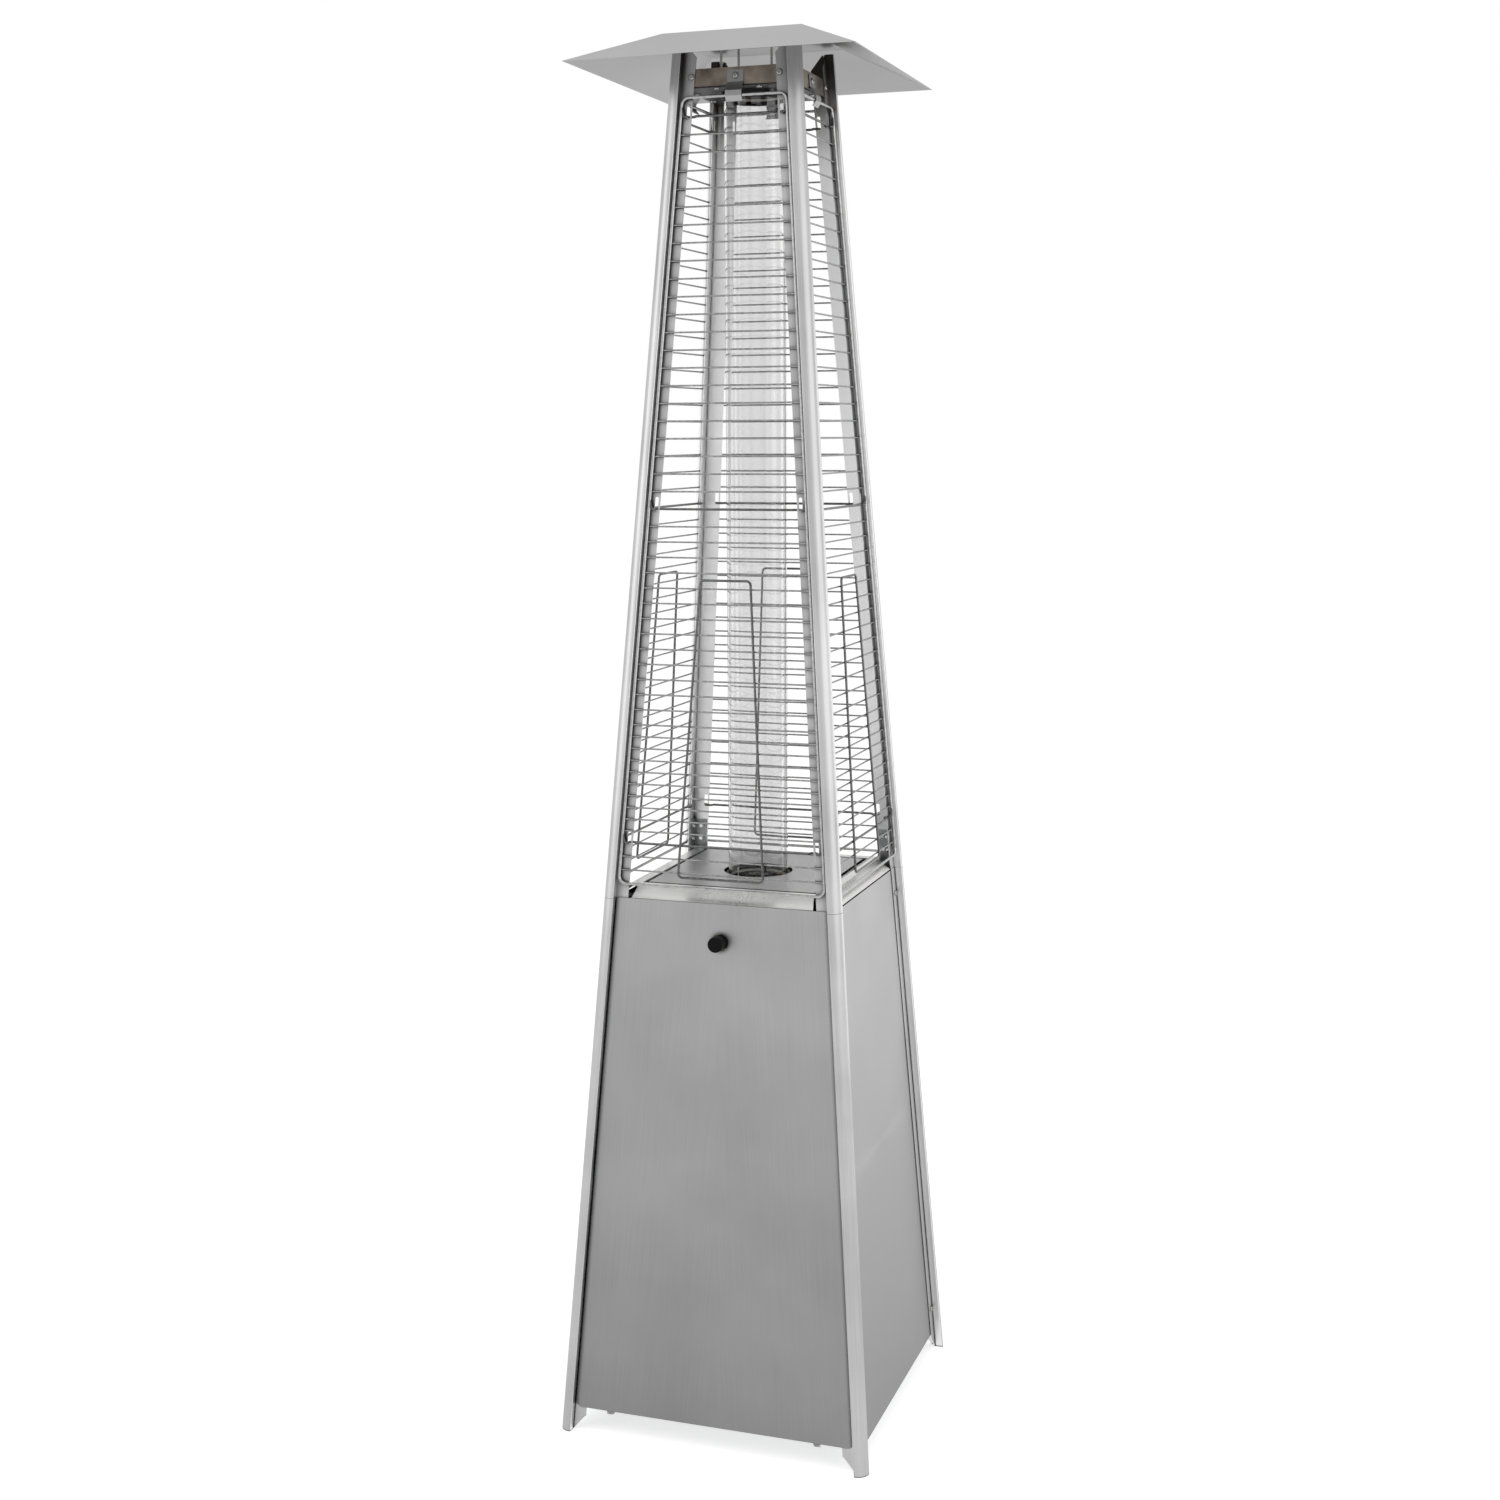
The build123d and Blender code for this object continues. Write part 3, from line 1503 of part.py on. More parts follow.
def door_catches():
    """Build the two magnetic catches on their arms."""
    front = nose_half(catch_height) - door_back_depth - catch_gap
    arm = front - box_half - magnet_depth / 2
    with BuildPart() as catches:
        with BuildSketch(Plane.XY.offset(catch_height)):
            with Locations((-catch_place, -box_half), (catch_place, -box_half)):
                Rectangle(catch_width, arm, align=(Align.CENTER, Align.MAX))
        extrude(amount=catch_wall)
        foot_top = catch_height + catch_wall
        with BuildSketch(Plane.XZ.offset(box_half)):
            with Locations((-catch_place, foot_top), (catch_place, foot_top)):
                Rectangle(catch_width, catch_foot, align=(Align.CENTER, Align.MAX))
        extrude(amount=catch_wall)
        with BuildSketch(Plane.XZ.offset(front)):
            with Locations((-catch_place, catch_height), (catch_place, catch_height)):
                Rectangle(catch_width, magnet_height, align=(Align.CENTER, Align.MAX))
        extrude(amount=-magnet_depth)
    write(catches, "door_catches")


def tilt_switch():
    """Build the safety switch on the back of the burner box."""
    with BuildPart() as switch:
        with BuildSketch(Plane.XY.offset(switch_bottom)):
            with Locations((0, box_half)):
                Rectangle(switch_width, switch_depth, align=(Align.CENTER, Align.MIN))
        extrude(amount=switch_height)
        chamfer(switch.edges().group_by(Axis.Z)[-1], switch_edge)
    write(switch, "tilt_switch")


def main():
    """Build and write every piece."""
    os.makedirs("parts", exist_ok=True)

    # Posts, their splices and the cabinet
    right_stud = ((90, -1),)
    both = flange_sides()
    left_stud = ((0, 1),)
    lower_post("post_lower_front_right", 0, right_stud, ())
    lower_post("post_lower_back_right", 90, (), both)
    lower_post("post_lower_back_left", 180, (), both)
    lower_post("post_lower_front_left", 270, left_stud, ())
    post = upper_post()
    bracket = splice_bracket()
    for corner, turn in CORNERS:
        write_turned(post, f"post_upper_{corner}", turn)
        write_turned(bracket, f"splice_bracket_{corner}", turn)
    for side, turn in SIDES[1:]:
        panel(f"panel_{side}", turn)
    door_panel()
    bottle_tray()
    hinge_pins()

    # Burner box, deck and burner
    burner_box()
    deck_skirt()
    deck_plate()
    deck_spacers()
    burner_plate()
    burner_head()
    burner_screen()
    mixing_tube()
    gas_injector()
    pilot_burner()
    thermocouple()
    ignition_electrode()

    # Glass tube between its seat and its holder
    tube_seat()
    glass_tube()
    tube_seals()
    tube_holder()

    # Crossbars, clips, guards and hood
    bar = crossbar()
    clip = guard_clip()
    guard = wire_guard()
    for side, turn in SIDES:
        write_turned(bar, f"crossbar_{side}", turn)
        write_turned(guard, f"wire_guard_{side}", turn)
    with BuildPart() as clips:
        for _, turn in SIDES:
            add(clip.part, rotation=(0, 0, turn))
    write(clips, "guard_clips")
    hood()
    hood_studs()

    # Valve, knob, gas tubes, catches and switch
    gas_valve()
    valve_nut()
    valve_bracket()
    valve_spindle()
    control_knob()
    gas_inlet()
    burner_tube()
    pilot_tube()
    door_catches()
    tilt_switch()

    # Fasteners
    fixings = (panel_fixing_low, panel_fixing_high)
    all_ends = [(turn, side) for _, turn in SIDES for side in (1, -1)]
    screw_sides = ((90, 1), (180, -1), (180, 1), (270, -1))
    screw_places = holder_bolt_planes()
    screw_places += fixing_planes(fixings, panel_fixing_inset, screw_sides)
    screw_places += fixing_planes((crossbar_screw_height,), crossbar_screw_inset, all_ends)
    clip_front = clip_depth - clip_wall * face_stretch / 2
    for _, turn in SIDES:
        screw_places.append(fixing_plane(clip_screw_height, turn, 0, clip_front))
    write_group(pan_screw(screw_grip), screw_places, "pan_screws")

    nut_places = fixing_planes(
        bracket_stud_heights, bracket_stud_inset, all_ends, bracket_back, inwards=True
    )
    stud_sides = ((90, -1), (270, 1))
    for depth, height in zip((panel_back + tray_wall, panel_back), fixings):
        nut_places += fixing_planes(
            (height,), panel_fixing_inset, stud_sides, depth, inwards=True
        )
    write_group(hex_nut(nut_width, nut_height, screw_radius), nut_places, "frame_nuts")

    hood_places = []
    for x in (-hood_stud_place, hood_stud_place):
        for y in (-hood_stud_place, hood_stud_place):
            hood_places.append(Plane(origin=(x, y, crossbar_bottom)))
            low = crossbar_bottom - holder_wall - hood_nut_height
            hood_places.append(Plane(origin=(x, y, low)))
    write_group(hex_nut(hood_nut_width, hood_nut_height, hood_stud_radius), hood_places, "hood_nuts")


main()
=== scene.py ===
"""The looks of a pyramid patio heater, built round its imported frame."""

import json
from math import pi, radians, sin, tan

import bpy
from mathutils import Matrix, Vector


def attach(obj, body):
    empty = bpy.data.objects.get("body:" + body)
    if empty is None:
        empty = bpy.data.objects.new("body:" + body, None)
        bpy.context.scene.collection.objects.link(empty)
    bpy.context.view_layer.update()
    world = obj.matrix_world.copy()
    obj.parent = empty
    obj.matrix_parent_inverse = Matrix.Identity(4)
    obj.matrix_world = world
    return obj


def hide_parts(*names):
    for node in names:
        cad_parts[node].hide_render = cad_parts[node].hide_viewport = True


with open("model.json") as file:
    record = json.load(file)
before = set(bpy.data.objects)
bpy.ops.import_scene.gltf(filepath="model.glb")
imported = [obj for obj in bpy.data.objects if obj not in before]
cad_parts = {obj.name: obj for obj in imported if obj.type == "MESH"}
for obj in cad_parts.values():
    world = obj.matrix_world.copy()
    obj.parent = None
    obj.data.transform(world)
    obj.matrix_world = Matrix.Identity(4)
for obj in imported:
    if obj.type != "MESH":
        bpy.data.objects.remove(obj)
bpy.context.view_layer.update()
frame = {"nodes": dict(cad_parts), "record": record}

MM = 0.001

# Shared with the part: half the width at the floor, and how far a face leans in as it rises
base_half = 267.8 * MM
taper_share = 0.072

# Wire guard: depths and insets start from the post noses at the same height
frame_radius = 2.5 * MM
bar_radius = 1.4 * MM
rod_radius = 2.0 * MM
frame_depth = 8.6 * MM
bar_depth = 10.9 * MM
loop_depth = 8.1 * MM
frame_inset = 25.5 * MM
guard_bottom = 928 * MM
guard_top = 2173 * MM
corner_radius = 12 * MM
rod_heights = (2144 * MM, 1533.5 * MM, 995 * MM)
change_height = 1187.3 * MM
# Gaps between the bars in the four zones, from the top down
zone_gaps = (22, 13, 10, 3)
loop_bottom, loop_top = 944 * MM, 1421.5 * MM
loop_bottom_half, loop_top_half = 72.5 * MM, 42 * MM
loop_corner = 7 * MM
slot_inset = 36 * MM
rod_behind = 17.4 * MM
rod_leg = 17 * MM
rod_bend = 2.7 * MM
rod_step_inset = 48 * MM
arc_steps = 8

# Height up to which the sheets get painted shade towards the floor, and heights at which the posts
# begin and end to be browned
painted_shade_top = 900 * MM
brown_start, brown_end = 2060 * MM, 2240 * MM

# Studio: the floor's grey and its glow look white together, and its shadow stays pale
floor_half = 40.0
floor_grey = 0.8
floor_glow = 0.64
world_light = 0.5

SIDES = (("front", 0), ("right", 90), ("back", 180), ("left", 270))


def linear(code):
    """Linear colour from an sRGB hex value."""
    parts = [int(code[i : i + 2], 16) / 255 for i in (1, 3, 5)]
    levels = [c / 12.92 if c <= 0.04045 else ((c + 0.055) / 1.055) ** 2.4 for c in parts]
    return (*levels, 1.0)


def grey(level):
    """A linear grey, which also carries a plain number through a colour ramp."""
    return (level, level, level, 1.0)


def add_node(tree, kind, inputs=None, stops=(), **settings):
    """Add one node with its settings, values and links, and a colour ramp's stops."""
    made = tree.nodes.new(kind)
    for name, value in settings.items():
        setattr(made, name, value)
    for name, value in (inputs or {}).items():
        socket = made.inputs[name]
        if isinstance(value, bpy.types.NodeSocket):
            tree.links.new(value, socket)
        else:
            socket.default_value = value
    for number, (place, colour) in enumerate(stops):
        made.color_ramp.elements[number].position = place
        made.color_ramp.elements[number].color = colour
    return made


def connect(tree, surface, **values):
    """Link outputs to the inputs of a surface shader."""
    for socket, value in values.items():
        tree.links.new(value, surface.inputs[socket.replace("_", " ")])


def start_material(name, **values):
    """A new material with its surface shader."""
    material = bpy.data.materials.new(name)
    material.use_nodes = True
    tree = material.node_tree
    surface = tree.nodes["Principled BSDF"]
    for socket, value in values.items():
        surface.inputs[socket.replace("_", " ")].default_value = value
    return material, tree, surface


def grain_place(tree, across_mm, along_mm, leaning):
    """Object coordinates stretched along the grain, which follows the lean of the faces."""
    place = add_node(tree, "ShaderNodeTexCoord").outputs["Object"]
    parts = add_node(tree, "ShaderNodeSeparateXYZ", {"Vector": place})
    moved = {"Z": parts.outputs["Z"]}
    for axis in "XY":
        size = add_node(tree, "ShaderNodeMath", {0: parts.outputs[axis]}, operation="ABSOLUTE")
        moved[axis] = add_node(
            tree,
            "ShaderNodeMath",
            {0: parts.outputs["Z"], 1: taper_share if leaning else 0.0, 2: size.outputs[0]},
            operation="MULTIPLY_ADD",
        ).outputs[0]
    joined = add_node(tree, "ShaderNodeCombineXYZ", moved)
    stretch = (1 / (across_mm * MM), 1 / (across_mm * MM), 1 / (along_mm * MM))
    return add_node(
        tree, "ShaderNodeVectorMath", {0: joined.outputs[0], 1: stretch}, operation="MULTIPLY"
    ).outputs[0]


def height_above_floor(tree):
    """Height of the shaded point above the floor, in metres."""
    place = add_node(tree, "ShaderNodeTexCoord").outputs["Object"]
    return add_node(tree, "ShaderNodeSeparateXYZ", {"Vector": place}).outputs["Z"]


def painted_shade_below(tree, foot_shade_tone):
    """Painted shade: full tone from the deck up, darker towards the floor."""
    return add_node(
        tree,
        "ShaderNodeMapRange",
        {"Value": height_above_floor(tree), "From Max": painted_shade_top, "To Min": foot_shade_tone},
    ).outputs[0]


def painted_gap_shade(tree, tone, reach_mm, start=0.58, end=0.85, darkest=0.0):
    """Painted shade: a tone that turns dark where another sheet or wire stands closer than the
    reach.

    It is darkest where the surroundings are open by less than the start, and full from the end.
    """
    shade = add_node(tree, "ShaderNodeAmbientOcclusion", {"Distance": reach_mm * MM}, samples=8)
    gap = add_node(
        tree,
        "ShaderNodeMapRange",
        {"Value": shade.outputs["AO"], "From Min": start, "From Max": end, "To Min": darkest},
    )
    return add_node(
        tree, "ShaderNodeVectorMath", {0: tone, 1: gap.outputs[0]}, operation="MULTIPLY"
    ).outputs[0]


def facing_the_tube(tree):
    """One on the sides of a sheet that look towards the heater's axis, zero on the others."""
    place = add_node(tree, "ShaderNodeNewGeometry").outputs
    inwards = add_node(
        tree, "ShaderNodeVectorMath", {0: place["Position"], 1: (-1, -1, 0)}, operation="MULTIPLY"
    )
    along = add_node(
        tree,
        "ShaderNodeVectorMath",
        {0: inwards.outputs[0], 1: place["True Normal"]},
        operation="DOT_PRODUCT",
    )
    return add_node(
        tree, "ShaderNodeMath", {0: along.outputs["Value"], 1: 0.0}, operation="GREATER_THAN"
    ).outputs[0]


def painted_inner_light(tree, tone):
    """The inner side of a post: painted light makes it pale in place of light reflected inside the
    post, and heat browns it to near black at the top.
    """
    heat = add_node(
        tree,
        "ShaderNodeMapRange",
        {"Value": height_above_floor(tree), "From Min": brown_start, "From Max": brown_end},
        interpolation_type="SMOOTHSTEP",
    )
    # Painted light: pale on the inner side, heat-browned to near black towards the top
    inner = add_node(
        tree,
        "ShaderNodeValToRGB",
        {"Fac": heat.outputs[0]},
        stops=((0.0, linear("#e4e4e4")), (1.0, linear("#35302c"))),
    ).outputs["Color"]
    # Sockets 6 and 7 take the two colours, output 2 gives the mixed one
    return add_node(
        tree, "ShaderNodeMix", {0: facing_the_tube(tree), 6: tone, 7: inner}, data_type="RGBA"
    ).outputs[2]


def brushed_stainless(
    name,
    low,
    high,
    roughness,
    across_mm=1.6,
    along_mm=160,
    leaning=True,
    foot_shade_tone=1.0,
    painted_wire_shade=False,
    painted_light_inside=False,
    gap_shade_reach_mm=0,
):
    """Satin stainless: long fine streaks, soft cloudy patches left by handling.

    Real brushing is about a tenth of a millimetre across and too fine to show, so it is drawn
    as coarse as it needs to be seen.
    """
    material, tree, surface = start_material(name, Metallic=1.0, Anisotropic=0.35)
    streaks = add_node(
        tree,
        "ShaderNodeTexNoise",
        {
            "Vector": grain_place(tree, across_mm, along_mm, leaning),
            "Scale": 1.0,
            "Detail": 4.0,
            "Roughness": 0.6,
        },
    ).outputs["Fac"]
    # The patches are about 220 mm across
    place = add_node(tree, "ShaderNodeTexCoord").outputs["Object"]
    clouds = add_node(
        tree, "ShaderNodeTexNoise", {"Vector": place, "Scale": 4.5, "Detail": 3.0}
    ).outputs["Fac"]
    streak_share = 0.6
    blend = add_node(
        tree, "ShaderNodeMath", {0: streaks, 1: streak_share, 2: clouds}, operation="MULTIPLY_ADD"
    ).outputs[0]
    blend_start, blend_end = 0.55, 1.0
    grain_tone = add_node(
        tree,
        "ShaderNodeValToRGB",
        {"Fac": blend},
        stops=((blend_start, linear(low)), (blend_end, linear(high))),
    ).outputs["Color"]
    # Painted shade: the grain's tone is darkened towards the floor
    colour = add_node(
        tree,
        "ShaderNodeVectorMath",
        {0: grain_tone, 1: painted_shade_below(tree, foot_shade_tone)},
        operation="MULTIPLY",
    ).outputs[0]
    # Painted shade on the posts' flanges round the guard wires
    if painted_wire_shade:
        colour = painted_gap_shade(tree, colour, reach_mm=16, start=0.5, end=1.0, darkest=0.3)
    # Painted light on the posts' inner sides, which are drawn pale
    if painted_light_inside:
        colour = painted_inner_light(tree, colour)
    # Painted shade in the narrow gaps beside other sheets and posts
    if gap_shade_reach_mm:
        colour = painted_gap_shade(tree, colour, gap_shade_reach_mm)
    smoother, duller = 0.06, 0.08
    gloss = add_node(
        tree,
        "ShaderNodeValToRGB",
        {"Fac": blend},
        stops=((blend_start, grey(roughness - smoother)), (blend_end, grey(roughness + duller))),
    ).outputs["Color"]
    relief = add_node(
        tree, "ShaderNodeBump", {"Height": streaks, "Strength": 0.05, "Distance": 0.4 * MM}
    ).outputs[0]
    connect(tree, surface, Base_Color=colour, Roughness=gloss, Normal=relief)
    return material


def speckled(name, low, high, roughness, grain_mm, bump, metallic=1.0, **values):
    """A finish with small even grains, such as paint, plating, plastic or glaze.

    Grains that are finer than half a millimetre are drawn as coarse as they need to show.
    """
    material, tree, surface = start_material(name, Metallic=metallic, **values)
    place = add_node(tree, "ShaderNodeTexCoord").outputs["Object"]
    grain = add_node(
        tree,
        "ShaderNodeTexNoise",
        {"Vector": place, "Scale": 1 / (grain_mm * MM), "Detail": 3.0, "Roughness": 0.65},
    ).outputs["Fac"]
    grain_start, grain_end, gloss_change = 0.3, 0.7, 0.05
    colour, gloss = (
        add_node(
            tree,
            "ShaderNodeValToRGB",
            {"Fac": grain},
            stops=((grain_start, lowest), (grain_end, highest)),
        ).outputs["Color"]
        for lowest, highest in (
            (linear(low), linear(high)),
            (grey(roughness - gloss_change), grey(roughness + gloss_change)),
        )
    )
    relief = add_node(
        tree, "ShaderNodeBump", {"Height": grain, "Strength": bump, "Distance": 0.2 * MM}
    ).outputs[0]
    connect(tree, surface, Base_Color=colour, Roughness=gloss, Normal=relief)
    return material


def heat_tinted():
    """Stainless that the flame has coloured: straw and brown clouds over a grey grain."""
    material, tree, surface = start_material("heat_tinted_stainless", Metallic=1.0)
    place = add_node(tree, "ShaderNodeTexCoord").outputs["Object"]
    # The clouds are about 35 mm across
    clouds = add_node(
        tree, "ShaderNodeTexNoise", {"Vector": place, "Scale": 28.0, "Detail": 3.0}
    ).outputs["Fac"]
    colour = add_node(
        tree,
        "ShaderNodeValToRGB",
        {"Fac": clouds},
        stops=((0.3, linear("#5d554d")), (0.7, linear("#a1968a"))),
    ).outputs["Color"]
    gloss = add_node(
        tree, "ShaderNodeValToRGB", {"Fac": clouds}, stops=((0.0, grey(0.3)), (1.0, grey(0.45)))
    ).outputs["Color"]
    connect(tree, surface, Base_Color=colour, Roughness=gloss)
    return material


def woven_fibre():
    """White mineral rope: fine ribs that run round the tube."""
    material, tree, surface = start_material("woven_fibre", Sheen_Weight=0.3, Roughness=0.95)
    place = add_node(tree, "ShaderNodeTexCoord").outputs["Object"]
    # The ribs are 2 mm apart
    ribs = add_node(
        tree,
        "ShaderNodeTexWave",
        {"Vector": place, "Scale": 160.0, "Distortion": 4.0, "Detail": 2.0},
        bands_direction="Z",
    ).outputs["Fac"]
    colour = add_node(
        tree,
        "ShaderNodeValToRGB",
        {"Fac": ribs},
        stops=((0.0, linear("#b9b5aa")), (1.0, linear("#e3e0d6"))),
    ).outputs["Color"]
    relief = add_node(
        tree, "ShaderNodeBump", {"Height": ribs, "Strength": 0.5, "Distance": 0.5 * MM}
    ).outputs[0]
    connect(tree, surface, Base_Color=colour, Normal=relief)
    return material


def tube_glass():
    """Clear drawn heat-proof glass: faint grey streaks run along the tube."""
    material, tree, surface = start_material(
        "drawn_glass", Transmission_Weight=1.0, Roughness=0.0, IOR=1.47
    )
    place = grain_place(tree, across_mm=24, along_mm=6000, leaning=False)
    streaks = add_node(
        tree, "ShaderNodeTexNoise", {"Vector": place, "Scale": 1.0, "Detail": 1.0}
    ).outputs["Fac"]
    colour = add_node(
        tree,
        "ShaderNodeValToRGB",
        {"Fac": streaks},
        stops=((0.35, linear("#e4e4e4")), (0.7, linear("#f6f6f6"))),
    ).outputs["Color"]
    connect(tree, surface, Base_Color=colour)
    return material


FINISHES = {
    # Brushed along each post, a little brighter than the sheets, with painted shade behind the
    # guard wires and a painted pale inner side
    "satin_stainless": brushed_stainless(
        "brushed_post_stainless",
        "#a6a6a6",
        "#c2c2c2",
        roughness=0.32,
        painted_wire_shade=True,
        painted_light_inside=True,
    ),
    # Cold rolled sheet with an upright satin grain, with painted shade in the gaps between two
    # sheets and towards the floor
    "sheet_stainless": brushed_stainless(
        "brushed_sheet_stainless",
        "#979797",
        "#a8a8a8",
        roughness=0.36,
        across_mm=1.2,
        along_mm=200,
        foot_shade_tone=0.62,
        gap_shade_reach_mm=14,
    ),
    # Polished sheet that catches the light round the deck
    "bright_stainless": brushed_stainless(
        "polished_stainless", "#dadad6", "#ececea", roughness=0.3, leaning=False
    ),
    # Folded sheet, satin like the cabinet
    "hood_stainless": brushed_stainless(
        "brushed_hood_stainless",
        "#969696",
        "#a8a8a8",
        roughness=0.36,
        across_mm=2.0,
        along_mm=90,
        leaning=False,
    ),
    # Straw and brown clouds where the crossbars take the flame's heat
    "heat_tinted_stainless": heat_tinted(),
    # Thin drawn wire of the level bars, smooth and grey
    "steel_wire": speckled(
        "drawn_steel_wire", "#727272", "#9e9e9e", roughness=0.25, grain_mm=6, bump=0.02
    ),
    # Zinc plated screws and nuts with a cool shine
    "bright_fasteners": speckled(
        "zinc_plate", "#8c8c8a", "#b8b8b6", roughness=0.25, grain_mm=1.5, bump=0.05
    ),
    # Galvanised sheet inside the cabinet, with broad dull spangles
    "plated_sheet": speckled(
        "galvanised_sheet",
        "#85878a",
        "#a9abac",
        roughness=0.45,
        grain_mm=12,
        bump=0.04,
        metallic=0.9,
    ),
    # Matt heat-proof enamel, slightly pebbled
    "black_enamel": speckled(
        "black_enamel",
        "#0b0b0c",
        "#17171a",
        roughness=0.48,
        grain_mm=1.0,
        bump=0.15,
        metallic=0.0,
    ),
    # Dull burner steel, greyed by heat
    "burner_steel": speckled(
        "burner_steel",
        "#2e2c2a",
        "#4d4945",
        roughness=0.5,
        grain_mm=3,
        bump=0.08,
        metallic=0.9,
    ),
    # Warm yellow brass with a turned shine
    "brass": speckled(
        "turned_brass", "#9a7b3c", "#c9a765", roughness=0.28, grain_mm=2, bump=0.04
    ),
    # Bare turned steel, pale and even
    "spindle_steel": speckled(
        "turned_steel", "#8a8a8a", "#b5b5b5", roughness=0.25, grain_mm=1.5, bump=0.05
    ),
    # White glaze, glossy and almost smooth
    "ceramic": speckled(
        "glazed_ceramic",
        "#e2e0d8",
        "#efeee8",
        roughness=0.12,
        grain_mm=2,
        bump=0.02,
        metallic=0.0,
    ),
    # Clear tube that shows the wires behind it, with faint grey streaks
    "tube_glass": tube_glass(),
    # Off-white rope with fine ribs
    "seal_fibre": woven_fibre(),
    # Moulded nylon with a fine spark-eroded skin
    "black_plastic": speckled(
        "moulded_black_nylon",
        "#040404",
        "#09090a",
        roughness=0.45,
        grain_mm=0.6,
        bump=0.12,
        metallic=0.0,
        Specular_IOR_Level=0.1,
    ),
}

# The posts below the deck: the same grain, with painted shade in the step beside the door and
# towards the floor, and a painted pale inner side
lower_post_finish = brushed_stainless(
    "brushed_lower_post_stainless",
    "#a6a6a6",
    "#c2c2c2",
    roughness=0.32,
    foot_shade_tone=0.85,
    painted_light_inside=True,
    gap_shade_reach_mm=4,
)

# Finishes of single pieces and wires that differ from the rest of their slot
OWN_FINISHES = {
    # The frame wire round each guard, smooth, and painted brighter than the bars as a painted
    # highlight along it
    "frame_wire": speckled(
        "painted_highlight_frame_wire", "#969696", "#b4b4b4", roughness=0.22, grain_mm=6, bump=0.02
    ),
    # Rods and loops: the same drawn wire, painted darker as painted shade
    "rod_wire": speckled(
        "painted_shade_rod_wire", "#4c4c4c", "#6e6e6e", roughness=0.28, grain_mm=6, bump=0.02
    ),
    # The deck: the sheet's satin grain, painted lighter as painted light on its upward face
    "deck_plate": brushed_stainless(
        "painted_light_deck_stainless",
        "#a6a6a6",
        "#b4b4b4",
        roughness=0.36,
        across_mm=1.2,
        along_mm=200,
        leaning=False,
    ),
}
for corner in ("front_right", "back_right", "back_left", "front_left"):
    OWN_FINISHES[f"post_lower_{corner}"] = lower_post_finish


def face_half(height):
    """Half the width across the post noses at a height."""
    return base_half - taper_share * height


def front_point(x, depth, height):
    """Point at a depth behind the front face."""
    return Vector((x, depth - face_half(height), height))


def rounded_path(points, radius, closed):
    """Points of a path whose corners are replaced by arcs."""
    made = []
    count = len(points)
    for i, point in enumerate(points):
        if not closed and i in (0, count - 1):
            made.append(point)
            continue
        back = (points[i - 1] - point).normalized()
        ahead = (points[(i + 1) % count] - point).normalized()
        half = back.angle(ahead) / 2
        reach = radius / tan(half)
        middle = point + (back + ahead).normalized() * (radius / sin(half))
        start, end = point + back * reach - middle, point + ahead * reach - middle
        turn = start.angle(end)
        for step in range(arc_steps + 1):
            share = step / arc_steps
            spoke = start * sin((1 - share) * turn) + end * sin(share * turn)
            made.append(middle + spoke / sin(turn))
    return made


def plain_mesh(shape):
    """The mesh that an object of curves or nodes makes; the object itself is removed."""
    bpy.context.scene.collection.objects.link(shape)
    bpy.context.view_layer.update()
    graph = bpy.context.evaluated_depsgraph_get()
    mesh = bpy.data.meshes.new_from_object(shape.evaluated_get(graph))
    bpy.data.objects.remove(shape)
    return mesh


def wire_mesh(name, points, radius, closed):
    """A round wire along a path, as a plain mesh."""
    curve = bpy.data.curves.new(name, "CURVE")
    curve.dimensions = "3D"
    curve.bevel_depth = radius
    curve.bevel_resolution = 3
    curve.use_fill_caps = not closed
    spline = curve.splines.new("POLY")
    spline.points.add(len(points) - 1)
    for place, point in zip(spline.points, points):
        place.co = (*point, 1)
    spline.use_cyclic_u = closed
    return plain_mesh(bpy.data.objects.new(name, curve))


